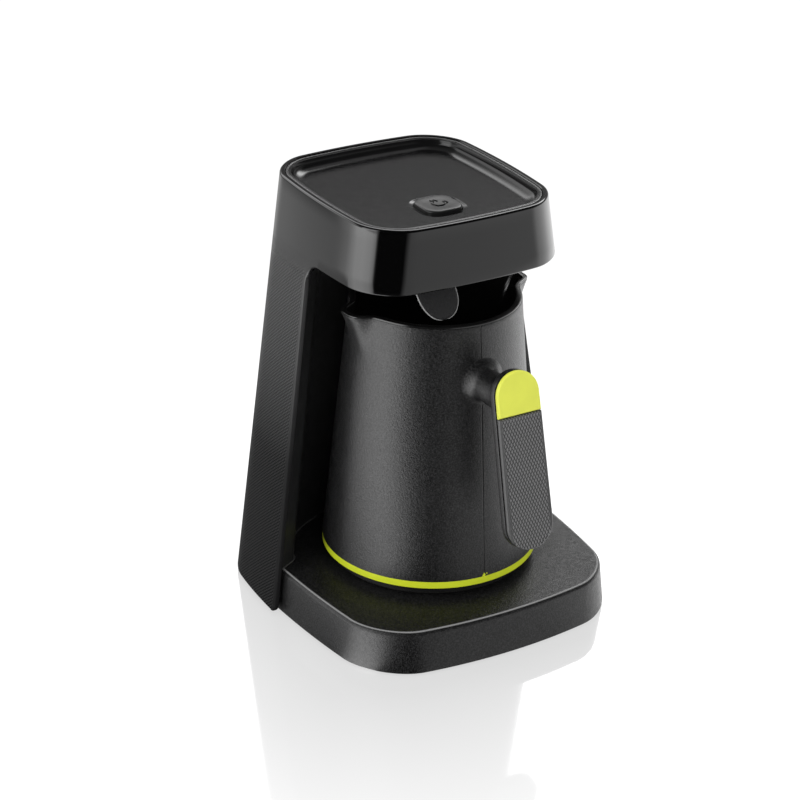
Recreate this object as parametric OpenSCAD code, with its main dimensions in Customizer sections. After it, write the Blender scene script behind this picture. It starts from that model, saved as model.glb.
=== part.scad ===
// Electric Turkish coffee maker: a stand with a tapered column and an
// overhanging head, and a lift-off pot that slides on and off its contacts.
// Millimetres. +Z up, -Y front, +X to the right of someone facing the front.
// The origin is on the table, under the axis of the pot.

/* [Base] */
// Width of the base where it meets the table
base_w = 160; // [150:1:172]
// Distance from the pot's axis to the front of the base
base_front = 78; // [72:1:86]
// Height of the deck that the pot stands on
deck_z = 22.7; // [20:0.1:28]
// How far the deck's edge lies inside the foot of the base
base_taper = 2.8; // [1:0.1:4]
// Corner radius of the base in plan
base_corner_r = 28; // [20:1:34]
// How far the corners of the base draw in from its straight outline
base_bow = 9; // [3:0.5:10]
// Wall thickness of the base
base_wall = 2.5; // [2:0.1:3]
// Radius of the rounded edge around the deck
deck_edge_r = 2.2; // [1:0.1:3]
// Radius of a rubber foot
foot_r = 7; // [5:0.5:9]
// How far the rubber feet stand below the base
foot_drop = 1.2; // [1:0.1:2]

/* [Column and head] */
// Width of the shell at the table
shell_foot_w = 169; // [166:1:174]
// Width of the head at its top
head_w = 108.6; // [104:0.1:114]
// Distance from the pot's axis to the back of the shell at the table
shell_back_foot = 91.4; // [89:0.1:98]
// Distance from the pot's axis to the back of the head at its top
shell_back_top = 81.2; // [79:0.1:86]
// Distance from the pot's axis to the front of the head at its top
head_front = 34.4; // [31:0.1:38]
// How far the head's front leans outward over its height
head_front_lean = 2.6; // [0:0.1:4]
// Height of the glossy band around the head
band_h = 31.2; // [29:0.1:36]
// Clear height between the pot's rim and the underside of the band
headroom = 18.9; // [17:0.1:24]
// Corner radius of the head in plan
head_corner_r = 22; // [16:0.5:26]
// Back corner radius of the shell at the table
foot_corner_r = 36; // [28:1:40]
// How far the head's corners draw in from its straight outline
head_bow = 3.6; // [1:0.1:5]
// Wall thickness of the shell
shell_wall = 2.8; // [2.4:0.1:3.2]
// Where the column's front edge meets the table, behind the pot's axis
column_edge_foot = 9.8; // [6:0.1:14]
// How far the column's front edge leans back per millimetre of height
column_edge_lean = 0.073; // [0.05:0.001:0.09]
// Radius of the arch where the column's edge meets the head
arch_r = 10; // [6:0.5:13]
// How far the column's front panel lies behind the shell's edge
panel_setback = 3; // [2:0.1:4]
// How much deeper the panel's strip is at its inner edge
strip_depth = 6.9; // [4:0.1:9]
// Gap beside the pot at the foot of the recess
recess_gap_foot = 10.1; // [8:0.1:11]
// Gap beside the pot at the top of the recess
recess_gap_top = 4.6; // [3.5:0.1:6]
// Gap behind the pot
recess_gap_back = 5.8; // [4:0.1:8]
// Wall thickness of the column's front panel
panel_wall = 2.4; // [2:0.1:3]
// How far the head's ceiling is recessed above the band's edge
ceiling_recess = 3; // [2:0.1:4]
// Thickness of the head's ceiling
ceiling_t = 2.2; // [1.8:0.1:3]
// Depth of the tray in the head's top
tray_depth = 5.2; // [4:0.1:6]
// Thickness of the tray's floor
tray_t = 2.2; // [1.8:0.1:3]
// Width of the trim ring around the tray
trim_w = 1.4; // [1:0.1:2]

/* [Pot] */
// Outer radius of the pot at its ring
pot_r_foot = 54.2; // [50:0.1:56]
// Outer radius of the pot at its rim
pot_r_rim = 42.1; // [40:0.1:45]
// Height of the rim above the deck
pot_h = 140.5; // [130:0.5:150]
// Height of the coloured ring
ring_h = 3.5; // [2.5:0.1:5]
// Height of the ring's lower edge above the deck
ring_lift = 6.2; // [5.8:0.1:7]
// Radius of the pot's foot under the ring
pot_foot_r = 50; // [47:0.1:50.5]
// Wall thickness of the outer jacket
jacket_wall = 2; // [1.6:0.1:2.4]
// Wall thickness of the inner vessel
vessel_wall = 1.2; // [0.8:0.1:1.6]
// Height of the vessel's floor above the deck
vessel_floor = 36; // [34:1:50]
// Reach of a spout beyond the rim
spout_reach = 9.6; // [7:0.1:11]
// Half of the angle that a spout's crown takes
spout_angle = 10; // [8:0.5:12]
// Height of a spout down the wall
spout_h = 26; // [20:1:32]

/* [Handle] */
// Length of the handle's strap
strap_len = 87.5; // [80:0.5:92]
// Height of the strap's top above the deck
strap_top = 128.3; // [120:0.1:132]
// Distance from the pot's axis to the strap's face at its top
strap_reach = 72; // [70:0.5:76]
// Angle by which the strap leans outward, in degrees
strap_lean = 13.9; // [10:0.1:16]
// Width of the strap at its top
strap_w_top = 23.8; // [20:0.1:25]
// Width of the strap at its bottom
strap_w_bottom = 25.4; // [23:0.1:28]
// Thickness of the strap's back shell
strap_back_t = 4.6; // [4:0.1:6]
// Thickness of the dark core plate
core_t = 1; // [0.8:0.1:1.5]
// Thickness of the grip and of the cap
grip_t = 2; // [1.6:0.1:3]
// Length of the coloured cap
cap_len = 21.6; // [18:0.1:26]
// Height of the arm's axis above the deck
arm_height = 111; // [105:0.5:114]
// Radius of the arm at its neck
arm_r = 8; // [7:0.1:9]
// Radius of the arm's flared root on the jacket
arm_root_r = 12.6; // [11:0.1:18]

/* [Button] */
// Width of the start button
button_w = 20.2; // [16:0.1:24]
// Corner radius of the start button
button_corner_r = 6.4; // [3:0.1:7]
// Height of the button above the tray's floor
button_proud = 1.5; // [1.5:0.1:3.5]
// Travel of the button
button_travel = 0.8; // [0.5:0.1:1]
// Width of the shallow dish around the button
button_dish_w = 2.2; // [1.5:0.1:4]
// Depth of that dish
button_dish_depth = 0.5; // [0.3:0.1:0.8]
// Gap around the button
button_gap = 0.45; // [0.3:0.05:0.7]

/* [Sensor flap] */
// Width of the flap
flap_w = 22.4; // [18:0.1:26]
// Thickness of the flap
flap_t = 2.6; // [2:0.1:3]
// How far the flap dips below the pot's rim
flap_dip = 11; // [6:0.1:12]
// Distance from the pot's axis to the flap's tip
flap_tip_front = 9; // [6:0.1:11]
// Distance from the pot's axis back to the flap's pin
flap_pin_back = 14.5; // [12:0.1:17]
// Height of the pin below the ceiling
flap_pin_drop = 7; // [6.5:0.1:8]
// Radius of the flap's pin
flap_pin_r = 1.5; // [1.2:0.1:1.8]

/* [Contacts] */
// Width of the contact block on the deck
block_w = 24; // [20:0.5:28]
// Length of the contact block on the deck
block_len = 30; // [26:0.5:36]
// Height of the contact block above the deck
block_h = 4.4; // [3.8:0.1:4.6]
// Gap on each side of the block in the pot's channel
channel_gap = 0.8; // [0.5:0.1:1.5]

/* [Hidden] */

eps = 0.01;
over = 1; // how far a cutting shape runs past what it cuts
fit_gap = 0.3; // between shells that nest
slide_gap = 0.2; // between the pot and the deck
contact_gap = 0.1; // between the pot's contacts and the blades
run_gap = 0.05; // radial clearance of a pin or plunger in its bore
corner_steps = 7;
side_steps = 4;
$fn = 64;

// Heights
rim_z = deck_z + pot_h;
band_z = rim_z + headroom;
machine_h = band_z + band_h;
ceiling_z = band_z + ceiling_recess;
ceiling_top = ceiling_z + ceiling_t;
tray_floor = machine_h - tray_depth;
tray_under = tray_floor - tray_t;
pot_z = deck_z + slide_gap;
ring_z = deck_z + ring_lift;
ring_top = ring_z + ring_h;
deck_under = deck_z - base_wall;
blade_top = deck_z + block_h + 0.9;

// Screws
screw_r = 1.4;
screw_head_r = 2.8;
screw_head_h = 1.6;
screw_len = 10;
boss_r = 3.6;
small_boss_r = 3;
small_screw_r = 1.0;
small_head_r = 2.0;
small_head_h = 1.2;

// ---------- shared shapes ----------

function mix(a, b, t) = a + (b - a)*t;

function arc_points(cx, cy, r, from, to, n) =
    [for (i = [0:n]) let (a = from + (to - from)*i/n) [cx + r*cos(a), cy + r*sin(a)]];

function between(p, q, n) = n < 2 ? [] : [for (i = [1:n - 1]) p + (q - p)*i/n];

// A section is [half width, front y, back y, front radius, back radius, bow, bow centre y,
// bow half length]. Its four sides are drawn in towards the corners by the bow.
function rounded_outline(w, yf, yb, rf, rb, steps) = concat(
    arc_points(w - rf, yf + rf, rf, -90, 0, corner_steps),
    between([w, yf + rf], [w, yb - rb], steps),
    arc_points(w - rb, yb - rb, rb, 0, 90, corner_steps),
    between([w - rb, yb], [rb - w, yb], steps),
    arc_points(rb - w, yb - rb, rb, 90, 180, corner_steps),
    between([-w, yb - rb], [-w, yf + rf], steps),
    arc_points(rf - w, yf + rf, rf, 180, 270, corner_steps),
    between([rf - w, yf], [w - rf, yf], steps));

function bowed(p, w, bow, yc, half) = let (u = p.x/w, v = (p.y - yc)/half)
    [p.x - sign(u)*bow*v*v*abs(u), p.y - sign(v)*bow*u*u*abs(v)];

function outline(s, inset = 0) = [for (p = rounded_outline(s[0] - inset, s[1] + inset, s[2] - inset,
    s[3] - inset, s[4] - inset, s[5] == 0 ? 1 : side_steps)) bowed(p, s[0] - inset, s[5], s[6], s[7])];

// Rings joined by four-sided faces. The ring of a wall runs along its front_points and back behind
// them with as many: its sides twist, so they are split into triangles that follow the bend, and
// its ends are made of one face between each pair of points.
module loft(rings, heights, front_points = 0) {
    n = len(rings[0]);
    m = len(rings);
    wall = front_points > 0;
    function end_faces(first) = !wall ? [[for (i = [0:n - 1]) first + i]]
        : [for (i = [0:front_points - 2]) [for (k = [i, i + 1, n - 2 - i, n - 1 - i]) first + k]];
    polyhedron(
        points = [for (j = [0:m - 1]) for (p = rings[j]) [p.x, p.y, heights[j]]],
        faces = concat(end_faces(0),
            [for (j = [0:m - 2]) for (i = [0:n - 1]) let (k = (i + 1) % n,
                a = j*n + i, b = (j + 1)*n + i, c = (j + 1)*n + k, d = j*n + k,
                right = rings[0][i].x + rings[0][k].x > 0)
                each !wall ? [[a, b, c, d]]
                    : right == (i < front_points) ? [[a, b, c], [a, c, d]] : [[a, b, d], [b, c, d]]],
            [for (f = end_faces((m - 1)*n)) [for (k = [len(f) - 1:-1:0]) f[k]]]),
        convexity = 8);
}

module rounded_square(w, r) {
    square([w, w - 2*r], center = true);
    square([w - 2*r, w], center = true);
    for (x = [-1, 1], y = [-1, 1]) translate([x*(w/2 - r), y*(w/2 - r)]) circle(r = r);
}

module rounded_plate(x, y, r, h) {
    linear_extrude(h) {
        square([x, y - 2*r], center = true);
        square([x - 2*r, y], center = true);
        for (i = [-1, 1], j = [-1, 1]) translate([i*(x/2 - r), j*(y/2 - r)]) circle(r = r);
    }
}

// A screw whose head's underside lies at the origin, its thread along +Z
module screw(r, head_r, head_h, len) {
    difference() {
        union() {
            translate([0, 0, -head_h]) cylinder(r = head_r, h = head_h);
            cylinder(r = r, h = len);
        }
        translate([0, 0, -head_h - over]) cylinder(r = head_r/2, h = over + head_h/2, $fn = 6);
    }
}

// Corners of a path cut once, so that it bends gently
function cut_corners(path) = let (n = len(path)) [path[0],
    for (i = [0:n - 2]) for (t = [0.25, 0.75])
        if (!(i == 0 && t < 0.5) && !(i == n - 2 && t > 0.5)) mix(path[i], path[i + 1], t),
    path[n - 1]];
function smooth_path(path) = cut_corners(cut_corners(path));
function unit(v) = v/norm(v);

wire_sides = 8;

// A wire of radius r along a smoothed route; side is a direction that the route never takes
module wire(route, r, side) {
    path = smooth_path(route);
    n = len(path);
    m = wire_sides;
    function along(i) = unit(path[min(i + 1, n - 1)] - path[max(i - 1, 0)]);
    rings = [for (i = [0:n - 1]) let (t = along(i), u = unit(cross(side, t)), v = cross(t, u))
        for (k = [0:m - 1]) path[i] + r*(u*cos(360*k/m) + v*sin(360*k/m))];
    polyhedron(points = rings, faces = concat([[for (k = [0:m - 1]) k]],
        [for (i = [0:n - 2]) for (k = [0:m - 1]) let (j = (k + 1) % m)
            [i*m + k, (i + 1)*m + k, (i + 1)*m + j, i*m + j]],
        [[for (k = [m - 1:-1:0]) (n - 1)*m + k]]), convexity = 8);
}

// ---------- sections of the shell and the base ----------

foot_bow_y = (shell_back_foot - base_front)/2;
foot_bow_half = (shell_back_foot + base_front)/2;
head_bow_y = (shell_back_top - head_front)/2;
head_bow_half = (shell_back_top + head_front)/2;

function head_front_y(z) = -head_front - head_front_lean*(machine_h - z)/band_h;
function shell_half_w(z) = mix(shell_foot_w, head_w, z/machine_h)/2;
function shell_back(z) = mix(shell_back_foot, shell_back_top, z/machine_h);
function shell_section(z) = let (t = z/machine_h) [shell_half_w(z), head_front_y(z), shell_back(z),
    head_corner_r, mix(foot_corner_r, head_corner_r, t), mix(base_bow, head_bow, t),
    mix(foot_bow_y, head_bow_y, t), mix(foot_bow_half, head_bow_half, t)];

base_bow_half = 102.5;
base_bow_y = base_bow_half - base_front;
function base_section(z) = let (in = base_taper*z/deck_z) [base_w/2 - in, -base_front + in,
    base_bow_y + base_bow_half, base_corner_r - in, base_corner_r - in, base_bow,
    base_bow_y, base_bow_half];

function column_edge(z) = column_edge_foot + column_edge_lean*z;

shell_foot_z = foot_drop + 0.4;
base_tuck = 12; // how far the base keeps its own outline behind the column's edge

edge_angles = [0:18:90]; // steps of a rounded edge

module shell_core(inset, from, to) {
    loft([outline(shell_section(from), inset), outline(shell_section(to), inset)], [from, to]);
}

// The base: its own tapered outline, kept inside the shell where the shell covers it
module base_core(inset, from, to) {
    intersection() {
        loft([outline(base_section(from), inset), outline(base_section(to), inset)], [from, to]);
        inside_shell(inset, from, to);
    }
}

module inside_shell(inset, from, to) {
    shell_core(shell_wall + fit_gap + inset, from - over, to + over);
    translate([-base_w, -2*base_front, from - over])
        cube([2*base_w, 2*base_front + column_edge_foot + base_tuck, to - from + 2*over]);
}

// ---------- stand: base ----------

screw_posts = [for (x = [-1, 1]) each [[x*(base_w/2 - 17), -base_front + 26], [x*(base_w/2 - 12), 0],
    [x*(base_w/2 - 22), shell_back_foot - 42]]];
shell_posts = [for (x = [-1, 1]) [x*30, shell_back_foot - 26]];
foot_posts = [for (x = [-1, 1]) each [[x*(base_w/2 - 28), -base_front + 20],
    [x*(base_w/2 - 27), shell_back_foot - 32]]];
gland_z = 11.5;
gland_r = 5.5;
cord_r = 3.2;
plate_z = foot_drop + 0.4;
plate_t = 2.2;
plate_top = plate_z + plate_t;
foot_seat = 1; // depth of a foot's seat in the plate
head_sink = screw_head_h*0.6; // depth of a countersunk head in the plate

block_screw_x = block_w/2 + 6;
block_boss_h = 6;
way_w = 32;
way_len = 14;
way_y = shell_back_foot - 28; // front of the wires' way up into the column

module base_housing() {
    color("#2b2b2b") difference() {
        union() {
            difference() {
                intersection() {
                    loft(concat([outline(base_section(foot_drop))], [for (a = edge_angles)
                        outline(base_section(deck_z), deck_edge_r*(1 - cos(a)))]),
                        concat([foot_drop], [for (a = edge_angles) deck_z - deck_edge_r*(1 - sin(a))]));
                    inside_shell(0, foot_drop, deck_z);
                }
                base_core(base_wall, -over, deck_under);
            }
            for (p = screw_posts) translate([p.x, p.y, plate_top])
                cylinder(r = boss_r, h = deck_under - plate_top + eps);
            for (x = [-1, 1]) translate([x*block_screw_x, block_y, deck_under - block_boss_h])
                cylinder(r = small_boss_r, h = block_boss_h + eps);
        }
        for (p = screw_posts) translate([p.x, p.y, plate_top - over])
            cylinder(r = screw_r, h = over + screw_len);
        for (p = shell_posts) translate([p.x, p.y, deck_under - over])
            cylinder(r = screw_r + fit_gap, h = base_wall + 2*over);
        translate([-block_w/2 - run_gap, block_y - block_len/2 - run_gap, deck_under - over])
            cube([block_w + 2*run_gap, block_len + 2*run_gap, base_wall + 2*over]);
        for (x = [-1, 1]) translate([x*block_screw_x, block_y, deck_under - block_boss_h - over])
            cylinder(r = small_screw_r, h = over + block_boss_h);
        // way in for the cord's gland and up into the column for the wires
        translate([0, gland_from, gland_z]) rotate([-90, 0, 0]) cylinder(r = gland_r + run_gap, h = 20);
        translate([-way_w/2, way_y, deck_under - over]) cube([way_w, way_len, base_wall + 2*over]);
    }
}

module base_plate() {
    color("#1d1d1d") difference() {
        base_core(base_wall + fit_gap, plate_z, plate_top);
        for (p = screw_posts) translate([p.x, p.y, plate_z - over]) {
            cylinder(r = screw_r + fit_gap, h = plate_t + 2*over);
            cylinder(r = screw_head_r + fit_gap, h = over + head_sink);
        }
        for (p = foot_posts) translate([p.x, p.y, plate_z - over])
            cylinder(r = foot_r + run_gap, h = over + foot_seat);
        for (p = shell_posts) translate([p.x, p.y, plate_z - over])
            cylinder(r = screw_head_r + 1, h = plate_t + 2*over);
    }
}

module rubber_feet() {
    color("#303030") for (p = foot_posts) translate([p.x, p.y, 0]) union() {
        cylinder(r1 = foot_r - 0.6, r2 = foot_r, h = foot_drop);
        translate([0, 0, foot_drop]) cylinder(r = foot_r, h = plate_z + foot_seat - foot_drop);
    }
}

module base_screws() {
    color("silver") for (p = screw_posts) translate([p.x, p.y, plate_z + head_sink])
        screw(screw_r, screw_head_r, head_sink, screw_len);
}

block_y = 4;
block_flange = 2;
blade_w = 2.4;
blade_pitch = 7;
blade_drop = 8; // how far the blades reach below the deck's underside
blade_slot = block_len - 10;
flange_top = deck_under - block_boss_h;

module contact_block() {
    color("#181818") difference() {
        union() {
            translate([-block_w/2, block_y - block_len/2, flange_top - eps])
                cube([block_w, block_len, deck_z + block_h - flange_top + eps]);
            translate([-block_w/2 - 3, block_y - block_len/2 - 3, flange_top - block_flange])
                cube([block_w + 6, block_len + 6, block_flange]);
            translate([-block_screw_x - small_boss_r, block_y - small_boss_r, flange_top - block_flange])
                cube([2*(block_screw_x + small_boss_r), 2*small_boss_r, block_flange]);
        }
        for (i = [-1:1]) translate([i*blade_pitch - blade_w/2, block_y - blade_slot/2, 0])
            cube([blade_w, blade_slot, 2*deck_z]);
        for (x = [-1, 1]) translate([x*block_screw_x, block_y, 0])
            cylinder(r = small_screw_r + 0.2, h = deck_z);
    }
}

module contact_screws() {
    color("silver") for (x = [-1, 1]) translate([x*block_screw_x, block_y, flange_top - block_flange])
        screw(small_screw_r, small_head_r, small_head_h, block_flange + 5);
}

module contact_blades() {
    color("#c8a24a") for (i = [-1:1])
        translate([i*blade_pitch - blade_w/2 + run_gap, 0, 0]) rotate([90, 0, 90])
            linear_extrude(blade_w - 2*run_gap) blade_profile();
}

// A bent contact spring, seen from the side: foot, upright and a crown above the block
module blade_profile() {
    half = blade_slot/2 - run_gap;
    top = blade_top;
    foot = deck_under - blade_drop;
    shoulder = deck_z + block_h - 1;
    t = 0.8;
    translate([block_y, 0]) difference() {
        polygon([[-half, foot], [half, foot], [half, shoulder], [half*0.24, top], [-half*0.24, top],
            [-half, shoulder]]);
        polygon([[t - half, foot - over], [half - t, foot - over], [half - t, shoulder - t/2],
            [half*0.2, top - t], [-half*0.2, top - t], [t - half, shoulder - t/2]]);
    }
}

module cord_gland() {
    color("#101010") translate([0, 0, gland_z]) rotate([-90, 0, 0]) difference() {
        union() {
            translate([0, 0, gland_from]) cylinder(r = gland_r, h = gland_seat - gland_from + eps);
            translate([0, 0, gland_seat]) cylinder(r = gland_r + gland_lip, h = gland_flange);
        }
        translate([0, 0, gland_from - over]) cylinder(r = cord_r, h = 2*shell_back_foot);
    }
}

gland_lip = 1.6;
gland_flange = 1.8;
gland_seat = shell_back(gland_z - gland_r - gland_lip);
nut_h = 3.4;
nut_r = gland_r + 3;
nut_seat = shell_back(gland_z + nut_r) - shell_wall - fit_gap - base_wall - slide_gap;
gland_from = nut_seat - nut_h - 4;

module gland_nut() {
    color("#3a3a3a") translate([0, nut_seat - nut_h, gland_z]) rotate([-90, 0, 0]) difference() {
        cylinder(r = nut_r, h = nut_h, $fn = 6);
        translate([0, 0, -over]) cylinder(r = gland_r, h = nut_h + 2*over);
    }
}

// ---------- stand: shell and column ----------

head_posts = [for (x = [-1, 1], y = [-head_front + 13, shell_back_top - 17]) [x*(head_w/2 - 12), y]];
rib_t = 1.6;
post_reach = 20; // more than the way from a post to its wall
shell_post_h = 20;
shell_edge_r = 1;
shell_foot_r = 3.6; // rounds the lower front corner of each side

module outer_shell() {
    color("#0c0c0c") union() {
        difference() {
            loft(concat([outline(shell_section(shell_foot_z))], [for (a = edge_angles)
                outline(shell_section(machine_h), shell_edge_r*(1 - cos(a)))]),
                concat([shell_foot_z], [for (a = edge_angles) machine_h - shell_edge_r*(1 - sin(a))]));
            shell_core(shell_wall, -over, machine_h + over);
            column_opening();
            translate([0, gland_from, gland_z]) rotate([-90, 0, 0])
                cylinder(r = gland_r + run_gap, h = shell_back_foot);
        }
        for (p = head_posts) head_post(p);
        for (p = shell_posts) shell_post(p);
    }
}

// Everything in front of the column's edge and below the head is open
module column_opening() {
    far = 2*base_front;
    z0 = -over;
    foot = shell_foot_z + shell_foot_r;
    e0 = column_edge(foot);
    e1 = column_edge(band_z - arch_r);
    rotate([90, 0, 90]) translate([0, 0, -base_w]) linear_extrude(2*base_w) union() {
        polygon(concat([[-far, z0], [e0 + shell_foot_r, z0]],
            arc_points(e0 + shell_foot_r, foot, shell_foot_r, -90, -180, 4), [[e1, band_z - arch_r]],
            arc_points(e1 - arch_r, band_z - arch_r, arch_r, 0, 90, 8), [[-far, band_z]]));
    }
}

module head_post(p) {
    difference() {
        union() {
            translate([p.x, p.y, ceiling_top]) cylinder(r = boss_r, h = tray_under - ceiling_top);
            intersection() {
                translate([p.x > 0 ? p.x : p.x - post_reach, p.y - rib_t/2, ceiling_top])
                    cube([post_reach, rib_t, tray_under - ceiling_top]);
                shell_core(shell_wall/2, ceiling_z, machine_h);
            }
        }
        translate([p.x, p.y, ceiling_top - over]) cylinder(r = screw_r, h = over + screw_len);
    }
}

module shell_post(p) {
    difference() {
        union() {
            translate([p.x, p.y, deck_z]) cylinder(r = boss_r, h = shell_post_h);
            intersection() {
                translate([p.x - rib_t/2, p.y, deck_z]) cube([rib_t, 2*post_reach, shell_post_h]);
                shell_core(shell_wall/2, 0, machine_h);
            }
        }
        translate([p.x, p.y, deck_z - over]) cylinder(r = screw_r, h = over + screw_len);
    }
}

module shell_screws() {
    color("silver") for (p = shell_posts) translate([p.x, p.y, deck_under])
        screw(screw_r, screw_head_r, screw_head_h, screw_len + base_wall - 1);
}

// Radius of the pot's jacket at a height
function jacket_r(z) = mix(pot_r_foot, pot_r_rim, (z - ring_top)/(rim_z - ring_top));

// The panel: an angled strip beside the shell's edge, then an elliptic recess round the pot
function recess_t(z) = (z - deck_z)/(ceiling_z - deck_z);
function recess_half_w(z) = jacket_r(z) + mix(recess_gap_foot, recess_gap_top, recess_t(z));
function recess_back(z) = jacket_r(z) + recess_gap_back;
function strip_y(z) = column_edge(z) + panel_setback;
function strip_x(z) = let (s = shell_section(z), v = (strip_y(z) - s[6])/s[7])
    (s[0] - shell_wall) - s[5]*v*v - fit_gap;

panel_steps = 14;
strip_bend = 0.35; // share of the strip that its rounded inner edge takes
recess_bend = 0.13; // share of the recess's depth that the same edge takes
// One half of the panel's front, or of its back at the wall's thickness, from the shell inwards
function panel_half(z, wall = 0) = let (
    w = recess_half_w(z), y = strip_y(z) + strip_depth, d = recess_back(z) + wall - y,
    slope = strip_depth/(strip_x(z) - w), behind = wall*sqrt(1 + slope*slope),
    a = [strip_x(z), strip_y(z) + behind], b = [w + wall, y + behind - wall*slope],
    p = mix(b, a, strip_bend), q = [w + wall, y + recess_bend*d])
    concat([a], [for (t = [0:0.25:1]) mix(mix(p, b, t), mix(b, q, t), t)],
    [for (i = [2:panel_steps]) let (t = 90*i/panel_steps) [(w + wall)*cos(t), y + d*sin(t)]]);

module column_front_panel() {
    z0 = deck_z;
    z1 = ceiling_z;
    heights = [z0, mix(z0, z1, 0.5), z1];
    front_points = 2*len(panel_half(z0)) - 1;
    color("#202020") difference() {
        union() {
            loft([for (z = heights) panel_loop(z)], heights, front_points);
            for (p = board_posts) let (y = panel_back_y(p.x, p.y) - panel_wall + 0.6)
                translate([p.x, y, p.y]) rotate([-90, 0, 0]) cylinder(r = small_boss_r, h = board_y - y);
        }
        for (p = board_posts) translate([p.x, board_y - 6, p.y]) rotate([-90, 0, 0])
            cylinder(r = small_screw_r, h = 6 + over);
    }
}

// Closed ring, anticlockwise from above: the front face from left to right, then the back
function panel_loop(z) = let (f = panel_half(z), b = panel_half(z, panel_wall), n = len(f))
    concat([for (i = [0:n - 1]) [-f[i].x, f[i].y]], [for (i = [n - 2:-1:0]) f[i]],
    [for (i = [0:n - 1]) b[i]], [for (i = [n - 2:-1:0]) [-b[i].x, b[i].y]]);
function panel_back_y(x, z) = let (
    w = recess_half_w(z) + panel_wall, y = strip_y(z) + strip_depth,
    d = recess_back(z) - y + panel_wall)
    y + d*sqrt(1 - pow(x/w, 2));

module head_ceiling() {
    color("#151515") difference() {
        union() {
            shell_core(shell_wall + fit_gap, ceiling_z, ceiling_top);
            for (p = ctrl_posts) translate([p.x, p.y, ceiling_top - eps])
                cylinder(r = small_boss_r, h = ctrl_z - ceiling_top + eps);
        }
        for (p = head_posts) translate([p.x, p.y, ceiling_z - over])
            cylinder(r = screw_r + fit_gap, h = ceiling_t + 2*over);
        for (p = ctrl_posts) translate([p.x, p.y, ctrl_z - 6]) cylinder(r = small_screw_r, h = 6 + over);
        for (p = bracket_posts) translate([p.x, p.y, ceiling_z - over])
            cylinder(r = small_screw_r, h = ceiling_t + 2*over);
        translate([-way_w/2, wire_way - way_len/2, ceiling_z - over])
            cube([way_w, way_len, ceiling_t + 2*over]);
    }
}

module ceiling_screws() {
    color("silver") for (p = head_posts) translate([p.x, p.y, ceiling_z])
        screw(screw_r, screw_head_r, screw_head_h, screw_len);
}

// ---------- stand: tray, button guide and control board ----------

trim_in = shell_wall + fit_gap;
tray_in = trim_in + trim_w + fit_gap/2;
trim_drop = 0.3;

module tray_trim() {
    color("#3c3c3c") difference() {
        shell_core(trim_in, tray_under, machine_h - trim_drop);
        shell_core(trim_in + trim_w, tray_under - over, machine_h + over);
    }
}

module top_tray() {
    lip_w = 1.2;
    wall_lean = 0.7; // how far the wall comes in on its way down to the bend
    bend_r = 1.5; // from the wall to the floor
    angles = [90:-15:0];
    section = shell_section(tray_floor);
    lip_z = machine_h - 2*trim_drop;
    color("#262626") difference() {
        shell_core(tray_in, tray_under, lip_z);
        loft(concat([for (a = angles) outline(section, tray_in + lip_w + wall_lean + bend_r*(1 - cos(a)))],
            [outline(section, tray_in + lip_w)]),
            concat([for (a = angles) tray_floor + bend_r*(1 - sin(a))], [machine_h + over]));
        translate([0, 0, tray_under - over]) linear_extrude(tray_t + 2*over)
            rounded_square(button_w + 2*button_gap, button_corner_r + button_gap);
        translate([0, 0, tray_floor - button_dish_depth]) linear_extrude(button_dish_depth + over)
            rounded_square(button_w + 2*button_dish_w, button_corner_r + button_dish_w);
    }
}

board_t = 1.6;
ctrl_x = 66;
ctrl_y = 48;
ctrl_y0 = 10;
ctrl_z = ceiling_top + 4;
ctrl_posts = [for (x = [-1, 1], y = [-1, 1]) [x*(ctrl_x/2 - 4), ctrl_y0 + y*(ctrl_y/2 - 4)]];
ctrl_top = ctrl_z + board_t;
switch_w = 6.2;
switch_h = 3.4;
switch_stem_h = 1.2;
switch_stem_r = 1.6;

guide_t = 1.6;
guide_w = button_w + 2*button_gap + 6;
flange_t = 1.2;
stem_top = ctrl_z + board_t + switch_h + switch_stem_h;
plunger_r = 2;
guide_floor = stem_top + 0.6;
skirt_z = tray_under - slide_gap - flange_t;
guide_depth = tray_under - guide_floor;

module button_guide() {
    color("#444444") difference() {
        translate([0, 0, guide_floor]) linear_extrude(guide_depth)
            rounded_square(guide_w, button_corner_r + 2);
        translate([0, 0, guide_floor + guide_t]) linear_extrude(guide_depth)
            rounded_square(guide_w - 2*guide_t, button_corner_r + 1);
        translate([0, 0, guide_floor - over]) cylinder(r = plunger_r + run_gap, h = guide_t + 2*over);
    }
}

module control_board() {
    color("#1f5c34") difference() {
        translate([0, ctrl_y0, ctrl_z]) rounded_plate(ctrl_x, ctrl_y, 2, board_t);
        for (p = ctrl_posts) translate([p.x, p.y, ctrl_z - over])
            cylinder(r = small_screw_r + 0.2, h = board_t + 2*over);
    }
}

module control_board_screws() {
    color("silver") for (p = ctrl_posts) translate([p.x, p.y, ctrl_top]) rotate([180, 0, 0])
        screw(small_screw_r, small_head_r, small_head_h, 5);
}

module tact_switch() {
    color("#222222") difference() {
        translate([-switch_w/2, -switch_w/2, ctrl_top]) cube([switch_w, switch_w, switch_h]);
        translate([0, 0, ctrl_top + 1]) cylinder(r = switch_stem_r + run_gap, h = switch_h);
    }
}

module switch_stem() {
    color("#c9c1a8") translate([0, 0, ctrl_top + 1 + button_travel + run_gap])
        cylinder(r = switch_stem_r, h = stem_top - ctrl_top - 1 - button_travel - run_gap);
}

module indicator_leds() {
    color("#e8e4d2") for (x = [-1, 1]) translate([x*8, 0, ctrl_top]) union() {
        cylinder(r = 1.5, h = 2.4);
        translate([0, 0, 2.4]) sphere(r = 1.5, $fn = 32);
    }
}

module buzzer() {
    color("#161616") translate([-22, ctrl_y0 + 10, ctrl_top]) difference() {
        cylinder(r = 6, h = 7);
        translate([0, 0, 6]) cylinder(r = 1, h = 2);
    }
}

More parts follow.
